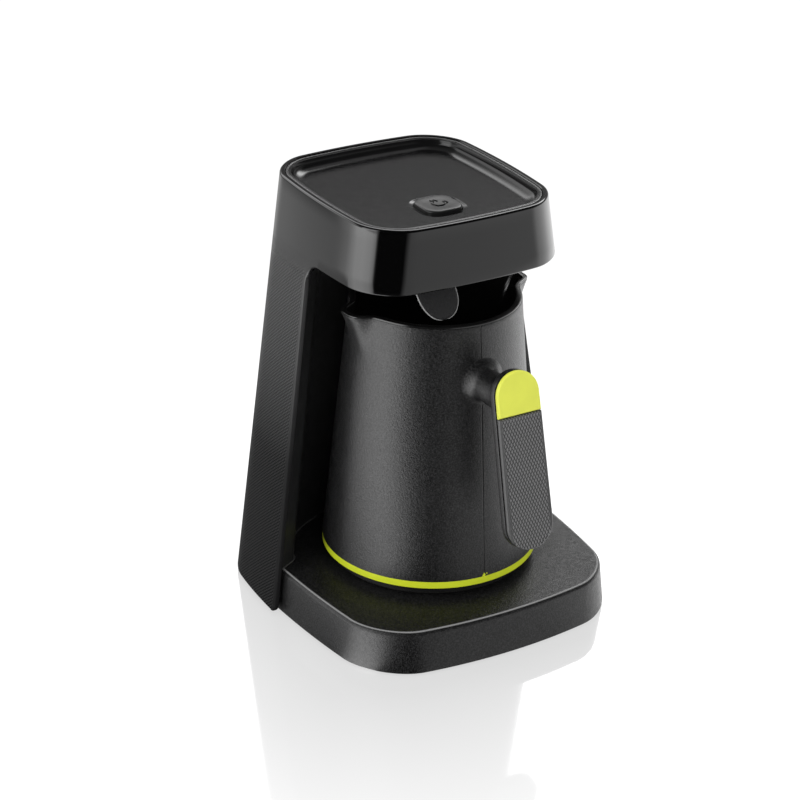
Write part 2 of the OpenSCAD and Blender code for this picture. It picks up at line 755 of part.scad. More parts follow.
module microcontroller() {
    color("#141414") union() {
        translate([12, ctrl_y0 + 4, ctrl_top + 0.4]) cube([10, 10, 1.6]);
        for (i = [0:6]) translate([11, ctrl_y0 + 5 + i*1.27, ctrl_top]) cube([12, 0.5, 0.6]);
    }
}

connector_at = [[0, ctrl_y0 + ctrl_y/2 - 6], [22, ctrl_y0 - ctrl_y/2 + 14]];

module board_connectors() {
    color("#e9e5d6") for (p = connector_at) translate([p.x - 6, p.y - 3, ctrl_top]) difference() {
        cube([12, 6, 6]);
        translate([1, 1, 2]) cube([10, 4, 6]);
    }
}

module start_button() {
    top = tray_floor + button_proud;
    cap_t = 1.8;
    dome = 0.5;
    color("#1e1e1e") union() {
        difference() {
            union() {
                translate([0, 0, skirt_z]) linear_extrude(top - dome - skirt_z)
                    rounded_square(button_w, button_corner_r);
                translate([0, 0, top - dome - eps]) linear_extrude(dome + eps)
                    rounded_square(button_w - 2*dome, button_corner_r - dome);
                translate([0, 0, skirt_z]) linear_extrude(flange_t)
                    rounded_square(button_w + 2*button_gap + 1.2, button_corner_r + 0.6);
            }
            translate([0, 0, skirt_z - over]) linear_extrude(top - cap_t - skirt_z + over)
                rounded_square(button_w - 2*cap_t, button_corner_r - cap_t);
        }
        translate([0, 0, stem_top]) cylinder(r = plunger_r, h = top - cap_t - stem_top + eps);
    }
}

// ---------- stand: power board in the column ----------

board_w = 56;
board_h = 84;
board_z = deck_z + 26;
board_y = recess_back(board_z) + panel_wall + 1.6;
board_back = board_y + board_t;
board_posts = [for (x = [-1, 1], z = [6, board_h - 6]) [x*(board_w/2 - 5), board_z + z]];

module power_board() {
    color("#a5892c") difference() {
        translate([-board_w/2, board_y, board_z]) cube([board_w, board_t, board_h]);
        for (p = board_posts) translate([p.x, board_y - over, p.y]) rotate([-90, 0, 0])
            cylinder(r = small_screw_r + 0.2, h = board_t + 2*over);
    }
}

module power_board_screws() {
    color("silver") for (p = board_posts) translate([p.x, board_back, p.y]) rotate([90, 0, 0])
        screw(small_screw_r, small_head_r, small_head_h, 5);
}

// A part standing on the board's back face, given by its corner, width, height and depth
module on_board(x, z, w, h, d) {
    translate([x, board_back, board_z + z]) cube([w, d, h]);
}

module relay() {
    color("#2c4fa3") on_board(-17, 12, 19, 15.5, 12.5);
}

module transformer() {
    color("#d8c24a") union() {
        on_board(-16, 48, 22, 18, 11);
        on_board(-19, 52, 28, 10, 8);
    }
}

module filter_capacitor() {
    color("#d9b42c") on_board(4, 30, 17, 12, 8);
}

module smoothing_capacitors() {
    color("#26303c") for (x = [13, 21]) translate([x, board_back, board_z + 62]) rotate([-90, 0, 0]) {
        cylinder(r = 3.8, h = 10.4);
        translate([0, 0, 10.4]) cylinder(r = 3.2, h = 0.3);
    }
}

module terminal_block() {
    color("#3b8f55") difference() {
        on_board(4, 8, 18, 9, 8);
        for (i = [0:2]) translate([7 + i*6, board_back + 5, board_z + 7]) cylinder(r = 1.6, h = 5);
    }
}

module fuse() {
    color("#cfd3d6") union() {
        translate([-20, board_back + 3, board_z + 34]) rotate([0, 90, 0]) cylinder(r = 2.4, h = 18);
        for (x = [-20, -6]) on_board(x, 32, 4, 4, 3);
    }
}

wire_r = 1.0;

module head_harness() {
    y = connector_at[0].y;
    color("#8c1d18") for (x = [-3.2, 0, 3.2]) wire([[x, board_back + wire_r + 0.2, board_z + board_h - 3.6],
        [x, board_back + 2, board_z + board_h + 12], [x, wire_way, ceiling_z - 6],
        [x, wire_way, ceiling_top + 10], [x, y, connector_top + 5], [x, y, connector_top]],
        wire_r, [1, 0, 0]);
}

connector_top = ctrl_top + 3.2;
wire_way = recess_back(ceiling_z) + panel_wall + 9;

module base_harness() {
    y = way_y + way_len/2;
    color("#1d3f8c") for (i = [-1:1]) let (x = i*blade_pitch, from_x = 13 + i*6)
        wire([[from_x, board_back + 5, board_z + 9], [from_x, board_back + 5, board_z + 1],
            [x, y, deck_z + 6], [x, y, deck_under - 3], [x, block_y + block_len/2 + 6, plate_top + 4],
            [x, block_y + 2, plate_top + 3], [x, block_y + 2, deck_z + block_h - 3.2]],
            wire_r, [1, 0, 0]);
}

// ---------- flap that senses the foam ----------

pin_y = flap_pin_back;
pin_z = ceiling_z - flap_pin_drop;
ear_t = 2.4;
ear_r = 4;
hub_r = flap_pin_r + 1.7;
bracket_w = flap_w + 2*ear_t + 0.6;
bracket_t = 2;
bracket_posts = [for (x = [-1, 1]) [x*(flap_w/2 - 4), pin_y + 13]];
flap_low = rim_z - flap_dip;

module flap_bracket() {
    color("#1a1a1a") difference() {
        union() {
            translate([-bracket_w/2, pin_y - ear_r, ceiling_z - bracket_t])
                cube([bracket_w, ear_r + 18, bracket_t]);
            for (x = [-1, 1]) translate([x*(bracket_w/2 - ear_t/2) - ear_t/2, 0, 0]) union() {
                translate([0, pin_y, pin_z]) rotate([0, 90, 0]) cylinder(r = ear_r, h = ear_t);
                translate([0, pin_y - ear_r, pin_z]) cube([ear_t, 2*ear_r, ceiling_z - pin_z]);
            }
        }
        translate([-base_w/2, pin_y, pin_z]) rotate([0, 90, 0]) cylinder(r = flap_pin_r, h = base_w);
        for (p = bracket_posts) translate([p.x, p.y, ceiling_z - bracket_t - over])
            cylinder(r = small_screw_r + 0.2, h = bracket_t + 2*over);
    }
}

module flap_bracket_screws() {
    color("silver") for (p = bracket_posts) translate([p.x, p.y, ceiling_z - bracket_t])
        screw(small_screw_r, small_head_r, small_head_h, bracket_t + ceiling_t);
}

module flap_pin() {
    color("silver") translate([-bracket_w/2 - 0.8, pin_y, pin_z]) rotate([0, 90, 0]) union() {
        cylinder(r = flap_pin_r, h = bracket_w + 1.6);
        cylinder(r = flap_pin_r + 0.8, h = 0.8);
    }
}

// Side profile: straight from the hub, then bent down to a hanging tip
bend_r = 6;
flap_slope = 42.5;
function flap_mid() = let (c = [bend_r - flap_tip_front, flap_low + 2.2])
    concat([[-flap_tip_front, flap_low]],
    arc_points(c.x, c.y, bend_r, 180, 180 - (90 - flap_slope), 5), [[pin_y, pin_z]]);
function thick_line(path, t) = let (n = len(path), dirs = [for (i = [0:n - 1])
    unit(path[min(i + 1, n - 1)] - path[max(i - 1, 0)])])
    concat([for (i = [0:n - 1]) path[i] + [-dirs[i].y, dirs[i].x]*t/2],
    [for (i = [n - 1:-1:0]) path[i] - [-dirs[i].y, dirs[i].x]*t/2]);

module flap_side(grow = 0) {
    rotate([90, 0, 90]) translate([0, 0, -flap_w/2 - grow - 1]) linear_extrude(flap_w + 2*grow + 2)
        polygon(thick_line(flap_mid(), flap_t + 2*grow));
}

module flap_front(r) {
    cz = flap_low + flap_w/2;
    rotate([90, 0, 0]) translate([0, 0, -60]) linear_extrude(120) {
        translate([0, cz]) circle(r = r);
        translate([-r, cz]) square([2*r, pin_z - cz + hub_r]);
    }
}

module sensor_flap() {
    color("#4a4a4a") difference() {
        union() {
            intersection() {
                flap_side();
                flap_front(flap_w/2 - 0.8);
            }
            translate([-flap_w/2 + 0.4, pin_y, pin_z]) rotate([0, 90, 0])
                cylinder(r = hub_r, h = flap_w - 0.8);
        }
        translate([-flap_w, pin_y, pin_z]) rotate([0, 90, 0])
            cylinder(r = flap_pin_r + run_gap, h = 2*flap_w);
        for (x = [-1, 1]) lens_at(x) translate([0, 0, -over]) cylinder(r = lens_r, h = 10);
    }
}

lens_r = 1.8;
lens_z = flap_low + 15;
function flap_y(z) = pin_y - (pin_z - z)*(pin_y + flap_tip_front - 2.4)/(pin_z - flap_low - 5.2);

module lens_at(x) {
    translate([x*4.5, flap_y(lens_z) - 0.2, lens_z]) rotate([-flap_slope - 90, 0, 0]) children();
}

module sensor_lenses() {
    color("#5b1a22") for (x = [-1, 1]) lens_at(x) translate([0, 0, 0.2 - over])
        cylinder(r = lens_r - run_gap, h = over + 1);
}

module flap_rim() {
    color("#b8b8b8") difference() {
        intersection() {
            flap_side();
            flap_front(flap_w/2);
            translate([-base_w/2, -60, 0]) cube([base_w, 60 + pin_y - hub_r - 2, machine_h]);
        }
        flap_front(flap_w/2 - 0.8);
    }
}

// ---------- pot ----------

function spout_bump(a) = 1/(1 + pow(a/spout_angle, 4));
function spout_fade(z) = pow(max(0, (z - rim_z + spout_h)/spout_h), 1.6);
function spout_r(a, z) = jacket_r(z) + (spout_reach + spout_sink)*spout_bump(a)*spout_fade(z) - spout_sink;
spout_span = 26;
spout_a_steps = 16;
spout_z_steps = 6;
spout_sink = 0.35; // how far a spout's foot starts inside the cone

// A solid wedge of the spout's outer form, inset by a wall, from inside the jacket outwards
module spout_wedge(inset) {
    na = spout_a_steps;
    nz = spout_z_steps;
    back = 4;
    function polar(r, a) = [r*cos(a), r*sin(a)];
    function angle(i) = -spout_span + 2*spout_span*i/na;
    function ring(j) = let (z = rim_z - spout_h + spout_h*j/nz, r = jacket_r(z) - inset) concat(
        [for (i = [0:na]) polar(spout_r(angle(i), z) - inset, angle(i))],
        [for (i = [na:-4:0]) polar(r - back, angle(i))]);
    heights = concat([for (j = [0:nz]) rim_z - spout_h + spout_h*j/nz], [rim_z + over]);
    rings = concat([for (j = [0:nz]) ring(j)], [ring(nz)]);
    for (turn = [0, 180]) rotate([0, 0, turn]) loft(rings, heights);
}

module cone_body(inset, from, to) {
    translate([0, 0, from])
        cylinder(r1 = jacket_r(from) - inset, r2 = jacket_r(to) - inset, h = to - from, $fn = 128);
}

vessel_out = jacket_wall + fit_gap/2;
vessel_in = vessel_out + vessel_wall;
vessel_z = deck_z + vessel_floor;
lip_h = 0.9;
lip_inset = 0.3;
seal_in_r = jacket_r(vessel_z) - jacket_wall - 3.4;
shell_rim = rim_z - lip_h;
arm_z = deck_z + arm_height;
arm_from = jacket_r(arm_z);
screw_seat = arm_from - 0.7; // where the handle screw's head seats in the jacket's wall

// The pot's form between two heights: its cone and its two spouts
module pot_form(inset, from, to) {
    intersection() {
        union() {
            cone_body(inset, from - over, to + over);
            spout_wedge(inset);
        }
        translate([0, 0, from]) cylinder(r = 2*pot_r_foot, h = to - from);
    }
}

module pot_shell() {
    color("#343434") difference() {
        pot_form(0, ring_top, shell_rim);
        cone_body(jacket_wall, ring_top - over, rim_z + over);
        spout_wedge(jacket_wall);
        translate([0, 0, arm_z]) rotate([90, 0, 0]) {
            cylinder(r = screw_r + fit_gap, h = 2*pot_r_foot);
            cylinder(r = screw_head_r + slide_gap, h = screw_seat);
        }
        ring_tick(0.1);
    }
}

module pot_vessel() {
    color("#111111") difference() {
        union() {
            pot_form(vessel_out, vessel_z, rim_z - lip_h/2);
            pot_form(lip_inset, shell_rim, rim_z);
        }
        cone_body(vessel_in, vessel_z + vessel_wall, rim_z + over);
        spout_wedge(vessel_in);
    }
}

seal_h = 3;
seal_gap = 0.1;

module vessel_seal() {
    color("#7a2a20") translate([0, 0, vessel_z - seal_h]) difference() {
        cylinder(r1 = jacket_r(vessel_z - seal_h) - jacket_wall - seal_gap,
            r2 = jacket_r(vessel_z) - jacket_wall - seal_gap, h = seal_h, $fn = 128);
        translate([0, 0, -over]) cylinder(r = seal_in_r, h = seal_h + 2*over, $fn = 128);
    }
}

heater_t = 3;
heater_r = seal_in_r - 0.4;
element_r = 3;
element_ring_r = heater_r - 8;
element_z = vessel_z - heater_t - element_r;
element_gap = 40; // half of the angle left open between the element's ends
element_end = element_ring_r*[sin(element_gap), cos(element_gap)];

module heater_plate() {
    color("#b9bcbf") translate([0, 0, vessel_z - heater_t]) cylinder(r = heater_r, h = heater_t, $fn = 96);
}

module heating_element() {
    color("#8f8a80") translate([0, 0, element_z]) union() {
        rotate([0, 0, 90 + element_gap]) rotate_extrude(angle = 360 - 2*element_gap, $fn = 96)
            translate([element_ring_r, 0]) circle(r = element_r, $fn = 32);
        for (s = [-1, 1]) translate([s*element_end.x, element_end.y, 0]) {
            translate([0, 0, -element_r]) cylinder(r = element_r + 0.2, h = 2*element_r);
            translate([0, 0, -9]) cylinder(r = 1.2, h = 9);
        }
    }
}

module thermostat() {
    color("#c9c3b4") union() {
        translate([0, 0, vessel_z - heater_t - 8]) cylinder(r = 8, h = 8);
        for (x = [-4, 4]) translate([x - 1.5, -0.4, vessel_z - heater_t - 13]) cube([3, 0.8, 5 + eps]);
    }
}

module thermal_fuse() {
    color("#d7d7d7") translate([-14, -11, vessel_z - heater_t - 2]) rotate([0, 90, 0]) union() {
        cylinder(r = 2, h = 11);
        translate([0, 0, -4]) cylinder(r = 0.6, h = 19, $fn = 24);
    }
}

module ring_tick(grow) {
    translate([0, -pot_r_foot + jacket_wall + over, ring_top - eps]) rotate([90, 0, 0])
        linear_extrude(jacket_wall + over - 0.1 + grow)
        polygon([[-1.6 - grow, -0.5], [1.6 + grow, -0.5], [0, 1.7 + grow]]);
}

module pot_ring() {
    color("#c3d600") union() {
        translate([0, 0, ring_z]) difference() {
            cylinder(r = pot_r_foot, h = ring_h, $fn = 128);
            translate([0, 0, -over]) cylinder(r = pot_foot_r + run_gap, h = ring_h + 2*over, $fn = 128);
        }
        ring_tick(0);
    }
}

pad_len = 10;
cover_top = ring_top + 4;
cover_t = 2.2;
channel_w = block_w + 2*channel_gap;
channel_top = blade_top + 0.5;
channel_front = block_y - block_len/2 - channel_gap;
cover_posts = [for (a = [60, 120, 240, 300]) [(pot_foot_r - 10)*cos(a), -(pot_foot_r - 10)*sin(a)]];

module pot_base_cover() {
    color("#161616") difference() {
        union() {
            difference() {
                union() {
                    translate([0, 0, pot_z]) cylinder(r1 = pot_foot_r - 1, r2 = pot_foot_r, h = 1);
                    translate([0, 0, pot_z + 1]) cylinder(r = pot_foot_r, h = cover_top - pot_z - 1);
                }
                translate([0, 0, pot_z + cover_t]) cylinder(r = pot_foot_r - cover_t, h = cover_top);
            }
            intersection() {
                translate([-channel_w/2 - cover_t, channel_front - cover_t, pot_z])
                    cube([channel_w + 2*cover_t, 2*pot_foot_r, channel_top + cover_t - pot_z]);
                translate([0, 0, pot_z]) cylinder(r = pot_foot_r - cover_t/2, h = 2*cover_top, $fn = 128);
            }
            for (p = cover_posts) translate([p.x, p.y, pot_z + cover_t - eps])
                cylinder(r = boss_r, h = cover_top - pot_z - cover_t);
        }
        translate([-channel_w/2, channel_front, pot_z - over])
            cube([channel_w, 2*pot_foot_r, channel_top - pot_z + over]);
        for (p = cover_posts) translate([p.x, p.y, pot_z - over]) {
            cylinder(r = screw_r, h = cover_top);
            cylinder(r = screw_head_r + 0.2, h = over + screw_head_h);
        }
        for (i = [-1:1]) translate([i*blade_pitch - blade_w/2, block_y - pad_len/2, channel_top - over])
            cube([blade_w, pad_len, cover_t + 2*over]);
    }
}

module pot_base_screws() {
    color("silver") for (p = cover_posts) translate([p.x, p.y, pot_z + screw_head_h])
        screw(screw_r, screw_head_r, screw_head_h*0.8, screw_len - 2);
}

module pot_contacts() {
    pad_z = blade_top + contact_gap;
    color("#c8a24a") for (i = [-1:1]) union() {
        translate([i*blade_pitch - blade_w/2 + run_gap, block_y - pad_len/2 + run_gap, pad_z])
            cube([blade_w - 2*run_gap, pad_len - 2*run_gap, channel_top + cover_t + eps - pad_z]);
        translate([i*blade_pitch - 1.9, block_y - pad_len/2 - 1, channel_top + cover_t])
            cube([3.8, pad_len + 2, pad_t]);
    }
}

pad_t = 1.2;

module pot_wires() {
    z0 = channel_top + cover_t + pad_t + wire_r;
    color("#b9b2a0") for (s = [-1, 1]) wire([[s*blade_pitch, block_y + 3, z0], [s*12, 12, z0 + 4],
        [s*element_end.x, element_end.y - 2.4, element_z - 7]], wire_r, [0, 0, 1]);
}

// ---------- handle ----------

strap_t = strap_back_t + core_t + grip_t;
face_t = core_t + grip_t;
strap_top_z = deck_z + strap_top;

// Local frame of the strap: x across, y down its length, z out of its face
module strap_place() {
    translate([0, -strap_reach, strap_top_z]) rotate([90 - strap_lean, 0, 0])
        mirror([0, 1, 0]) children();
}

// The strap's outline: two round ends joined by their common tangents
module strap_outline(inset) {
    r1 = strap_w_top/2 - inset;
    r2 = strap_w_bottom/2 - inset;
    y1 = strap_w_top/2;
    y2 = strap_len - strap_w_bottom/2;
    s = asin((r2 - r1)/(y2 - y1));
    translate([0, y1]) circle(r = r1);
    translate([0, y2]) circle(r = r2);
    side = [[r1*cos(s), y1 - r1*sin(s)], [r2*cos(s), y2 - r2*sin(s)]];
    polygon([side[0], side[1], [-side[1].x, side[1].y], [-side[0].x, side[0].y]]);
}

arm_to = strap_reach + (strap_top_z - arm_z)*tan(strap_lean);
arm_flare_len = 5.5;
root_y = sqrt(arm_from*arm_from - arm_root_r*arm_root_r); // where the flare meets the jacket at its sides
strap_flare = 3;

// The arm's profile about its own axis, from the jacket's wall out to the strap
function arm_profile() = concat(
    [[0, arm_from - 8], [arm_root_r, arm_from - 8], [arm_root_r, root_y]],
    [for (a = [10:10:90]) [arm_root_r - (arm_root_r - arm_r)*sin(a), root_y + arm_flare_len*(1 - cos(a))]],
    [for (a = [0:15:90]) [arm_r + strap_flare*(1 - cos(a)), arm_to - strap_t - 3 + 5*sin(a)]],
    [[0, arm_to - strap_t + 2]]);

module handle_frame() {
    color("#343434") difference() {
        union() {
            translate([0, 0, arm_z]) rotate([90, 0, 0]) rotate_extrude() polygon(arm_profile());
            strap_place() translate([0, 0, -strap_t]) linear_extrude(strap_back_t) strap_outline(0);
        }
        strap_place() translate([-strap_len, -strap_len, -face_t])
            cube([2*strap_len, 3*strap_len, strap_len]);
        cone_body(-run_gap, ring_top, rim_z);
        translate([0, 0, arm_z]) rotate([90, 0, 0]) cylinder(r = screw_r, h = arm_to - strap_t + 1);
    }
}

module handle_core() {
    color("#050505") strap_place() translate([0, 0, -face_t]) linear_extrude(core_t) strap_outline(0.7);
}

module handle_grip() {
    color("#3a3a3a") strap_place() translate([0, 0, -grip_t]) linear_extrude(grip_t) difference() {
        strap_outline(0.15);
        translate([-strap_len, cap_len - strap_len]) square([2*strap_len, strap_len]);
    }
}

module handle_cap() {
    color("#d4e03c") strap_place() translate([0, 0, -grip_t]) linear_extrude(grip_t) intersection() {
        strap_outline(0.15);
        translate([-strap_len, cap_len - strap_len - 0.4]) square([2*strap_len, strap_len]);
    }
}

module handle_screw() {
    color("silver") translate([0, -screw_seat, arm_z]) rotate([90, 0, 0])
        screw(screw_r, screw_head_r, 1, 16);
}

base_housing();
base_plate();
rubber_feet();
base_screws();
contact_block();
contact_screws();
contact_blades();
outer_shell();
shell_screws();
column_front_panel();
head_ceiling();
ceiling_screws();
tray_trim();
top_tray();
button_guide();
control_board();
control_board_screws();
tact_switch();
indicator_leds();
buzzer();
microcontroller();
board_connectors();
power_board();
power_board_screws();
relay();
transformer();
filter_capacitor();
smoothing_capacitors();
terminal_block();
fuse();
head_harness();
base_harness();
cord_gland();
gland_nut();
flap_bracket();
flap_bracket_screws();
flap_pin();
start_button();
switch_stem();
sensor_flap();
flap_rim();
sensor_lenses();
pot_shell();
pot_vessel();
vessel_seal();
heater_plate();
heating_element();
thermostat();
thermal_fuse();
pot_ring();
pot_base_cover();
pot_base_screws();
pot_contacts();
pot_wires();
handle_frame();
handle_core();
handle_grip();
handle_cap();
handle_screw();
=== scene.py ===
import math

import bmesh
import bpy
import numpy as np
from mathutils import Matrix, Vector


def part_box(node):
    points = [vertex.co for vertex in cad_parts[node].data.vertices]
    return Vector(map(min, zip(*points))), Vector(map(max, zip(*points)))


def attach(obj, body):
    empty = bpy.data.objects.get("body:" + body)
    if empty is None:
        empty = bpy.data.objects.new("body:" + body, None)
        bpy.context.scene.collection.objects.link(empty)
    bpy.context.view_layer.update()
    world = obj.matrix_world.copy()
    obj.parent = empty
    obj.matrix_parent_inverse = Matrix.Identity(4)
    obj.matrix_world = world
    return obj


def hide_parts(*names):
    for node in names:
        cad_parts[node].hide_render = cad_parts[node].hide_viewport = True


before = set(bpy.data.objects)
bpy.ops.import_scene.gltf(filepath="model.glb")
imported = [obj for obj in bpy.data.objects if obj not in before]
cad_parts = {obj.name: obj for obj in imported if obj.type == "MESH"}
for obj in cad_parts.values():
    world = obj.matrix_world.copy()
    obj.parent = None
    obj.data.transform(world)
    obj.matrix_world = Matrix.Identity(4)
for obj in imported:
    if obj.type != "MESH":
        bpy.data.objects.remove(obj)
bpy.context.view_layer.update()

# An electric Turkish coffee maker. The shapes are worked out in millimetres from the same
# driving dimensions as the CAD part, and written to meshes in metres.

MM = 0.001
MIRROR = np.array([-1, 1, 1])

# ---------------------------------------------------------------- driving dimensions, mm

machine_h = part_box("outer_shell")[1][2] / MM
deck_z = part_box("base_housing")[1][2] / MM
rim_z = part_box("pot_vessel")[1][2] / MM
ring_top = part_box("pot_shell")[0][2] / MM
vessel_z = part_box("pot_vessel")[0][2] / MM
pin_z = (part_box("flap_pin")[0][2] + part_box("flap_pin")[1][2]) / 2 / MM
pin_y = (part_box("flap_pin")[0][1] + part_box("flap_pin")[1][1]) / 2 / MM

foot_drop = 1.2
base_w = 160
base_front = 78
base_taper = 2.8
base_corner_r = 28
base_bow = 9
base_bow_half = 102.5
base_wall = 2.5
deck_edge_r = 2.2

shell_foot_w = 169
head_w = 108.6
shell_back_foot = 91.4
shell_back_top = 81.2
head_front = 34.4
head_front_lean = 2.6
band_h = 31.2
head_corner_r = 22
foot_corner_r = 36
head_bow = 3.6
shell_wall = 2.8
shell_foot_z = 1.6
shell_foot_r = 3.6
column_edge_foot = 9.8
column_edge_lean = 0.073
arch_r = 10
band_z = machine_h - band_h

panel_setback = 3
strip_depth = 6.9
recess_gap_foot = 10.1
recess_gap_top = 4.6
recess_gap_back = 5.8
panel_wall = 2.4
strip_bend = 0.35
recess_bend = 0.13
fit_gap = 0.3
ceiling_z = band_z + 3

tray_depth = 5.2
tray_t = 2.2
tray_floor = machine_h - tray_depth
trim_w = 1.4

pot_r_foot = 54.2
pot_r_rim = 42.1
jacket_wall = 2
vessel_wall = 1.2
spout_reach = 9.6
spout_angle = 10
spout_h = 26
lip_h = 0.9

strap_len = 87.5
strap_top_z = deck_z + 128.3
strap_reach = 72
strap_lean = math.radians(13.9)
strap_r_top = 11.9
strap_r_bottom = 12.7
strap_back_t = 4.6
core_t = 1
grip_t = 2
plate_inset = 0.15
knurl_x = 1.65
knurl_y = 3.3
knurl_depth = 0.4
cap_len = 21.6
arm_z = deck_z + 111
arm_r = 8

button_w = 20.2
button_corner_r = 6.4
button_proud = 1.5
button_gap = 0.45
dish_w = 2.2
dish_depth = 0.5

flap_w = 22.4
flap_t = 2.6
flap_low = rim_z - 11
flap_tip_front = 9


def mix(a, b, t):
    return a + (b - a) * t


def smooth(t):
    t = np.clip(t, 0, 1)
    return t * t * (3 - 2 * t)


# ---------------------------------------------------------------- mesh helpers


def add(name, data):
    obj = bpy.data.objects.new(name, data)
    bpy.context.scene.collection.objects.link(obj)
    return obj


class Skin:
    """Collects grids and faces of points in millimetres and welds them into one mesh."""

    def __init__(self):
        self.points = []
        self.faces = []

    def grid(self, points, mirror=False):
        """A rows x columns x 3 array of points becomes quads."""
        points = np.asarray(points, float)
        rows, columns = points.shape[:2]
        first = len(self.points)
        self.points.extend(points.reshape(-1, 3))
        for r in range(rows - 1):
            for c in range(columns - 1):
                a = first + r * columns + c
                self.faces.append((a, a + 1, a + columns + 1, a + columns))
        if mirror:
            self.grid(points * MIRROR)
        return self

    def face(self, points, mirror=False):
        first = len(self.points)
        points = np.asarray(points, float)
        self.points.extend(points)
        self.faces.append(tuple(range(first, first + len(points))))
        if mirror:
            self.face(points * MIRROR)
        return self

    def tube(self, loops, caps=()):
        """Closed loops are joined, each to the next; caps are the loops that are filled."""
        self.grid([np.vstack([loop, loop[:1]]) for loop in loops])
        for i in caps:
            self.face(loops[i])
        return self

    def between(self, outer, inner):
        """Fills the flat ring between two closed loops of points."""
        first = len(self.points)
        bm = bmesh.new()
        for loop in (outer, inner):
            self.points.extend(np.asarray(loop, float))
            verts = [bm.verts.new(p) for p in loop]
            for a, b in zip(verts, verts[1:] + verts[:1]):
                bm.edges.new((a, b))
        bm.verts.index_update()
        made = bmesh.ops.triangle_fill(bm, use_beauty=True, edges=bm.edges[:])
        for f in made["geom"]:
            if isinstance(f, bmesh.types.BMFace):
                self.faces.append(tuple(first + v.index for v in f.verts))
        bm.free()
        return self

    def make(self, name, material, body, slot, replaces=(), sharp=32):
        """The mesh as a piece of a body, with creases at angles above sharp, in degrees."""
        weld = 2e-6
        mesh = bpy.data.meshes.new(name)
        mesh.from_pydata([tuple(p * MM) for p in self.points], [], self.faces)
        bm = bmesh.new()
        bm.from_mesh(mesh)
        bmesh.ops.remove_doubles(bm, verts=bm.verts[:], dist=weld)
        bmesh.ops.dissolve_degenerate(bm, edges=bm.edges[:], dist=weld / 4)
        bmesh.ops.recalc_face_normals(bm, faces=bm.faces[:])
        bm.to_mesh(mesh)
        bm.free()
        mesh.shade_smooth()
        mesh.set_sharp_from_angle(angle=math.radians(sharp))
        mesh.materials.append(material)
        obj = add(name, mesh)
        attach(obj, body)
        if replaces:
            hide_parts(*replaces)
        return obj


def at_z(outline, z):
    """A list of x, y points lifted to a height."""
    outline = np.asarray(outline, float)
    return np.column_stack([outline, np.full(len(outline), float(z))])


def arc(cx, cy, r, start, stop, n):
    a = np.radians(np.linspace(start, stop, n + 1))
    return np.column_stack([cx + r * np.cos(a), cy + r * np.sin(a)])


def line(p, q, n):
    return np.linspace(p, q, n + 1)


def rounding(inset, z, across, down, start, stop, n):
    """Pairs of inset and height on an edge: (inset, z - down) at 0, (inset + across, z) at 90 degrees."""
    return [(inset + across * (1 - math.cos(a)), z - down * (1 - math.sin(a)))
            for a in np.radians(np.linspace(start, stop, n))]


def both_sides(half):
    """A whole loop from its right half, which starts and ends on the middle."""
    return np.vstack([half, half[::-1][1:-1] * MIRROR[:2]])


def grid_edge(grid):
    """The loop of points round a grid."""
    return np.vstack([grid[0], grid[1:, -1], grid[-1][::-1][1:], grid[1:-1, 0][::-1]])


def bead(name, points, radius, mat, body, slot, replaces=()):
    """A round bead swept along points, with capped ends."""
    p = np.array(points, float)
    ways = np.gradient(p, axis=0)
    ways /= np.linalg.norm(ways, axis=1)[:, None]
    rings = []
    for q, way in zip(p, ways):
        a = np.cross(way, (0.0, -0.7, 0.7))
        if np.linalg.norm(a) < 1e-3:
            a = np.array([1.0, 0, 0])
        a /= np.linalg.norm(a)
        b = np.cross(way, a)
        turns = np.linspace(0, 2 * math.pi, 13)[:-1]
        rings.append(np.array([q + radius * (math.cos(k) * a + math.sin(k) * b) for k in turns]))
    return Skin().tube(rings, caps=(0, -1)).make(name, mat, body, slot, replaces)


# ---------------------------------------------------------------- sections


def shell_section(z):
    """Half width, front, back, corner radii, bow, middle in y and half length of the shell at z."""
    t = z / machine_h
    return dict(
        w=mix(shell_foot_w, head_w, t) / 2,
        front=-head_front - head_front_lean * (machine_h - z) / band_h,
        back=mix(shell_back_foot, shell_back_top, t),
        rf=head_corner_r,
        rb=mix(foot_corner_r, head_corner_r, t),
        bow=mix(base_bow, head_bow, t),
        yc=mix((shell_back_foot - base_front) / 2, (shell_back_top - head_front) / 2, t),
        half=mix((shell_back_foot + base_front) / 2, (shell_back_top + head_front) / 2, t),
    )


def base_section(z):
    """The same measures of the base."""
    drawn = base_taper * z / deck_z
    return dict(
        w=base_w / 2 - drawn, front=-base_front + drawn, back=2 * base_bow_half - base_front,
        rf=base_corner_r - drawn, rb=base_corner_r - drawn, bow=base_bow,
        yc=base_bow_half - base_front, half=base_bow_half,
    )


def bowed(p, w, s):
    """Points of a straight outline, moved so that its sides bow outwards."""
    u = p[:, 0] / w
    v = (p[:, 1] - s["yc"]) / s["half"]
    return np.column_stack([p[:, 0] - u * s["bow"] * v * v, p[:, 1] - v * s["bow"] * u * u])


def unbowed_y(y, s):
    """The straight outline's y of a point on the bowed side."""
    return s["yc"] + (y - s["yc"]) / (1 - s["bow"] / s["half"])


FRONT_STEPS = 14
ARC_STEPS = 22
SIDE_STEPS = 26
JOIN_STEPS = 8


def front_part(s, inset, y_join):
    """The right half of an outline, from the front's middle to a y on its side."""
    w, rf = s["w"] - inset, s["rf"] - inset
    front = s["front"] + inset
    plain = np.vstack([
        line((0, front), (w - rf, front), FRONT_STEPS)[:-1],
        arc(w - rf, front + rf, rf, -90, 0, ARC_STEPS)[:-1],
        line((w, front + rf), (w, unbowed_y(y_join, s)), JOIN_STEPS)])
    return bowed(plain, w, s)


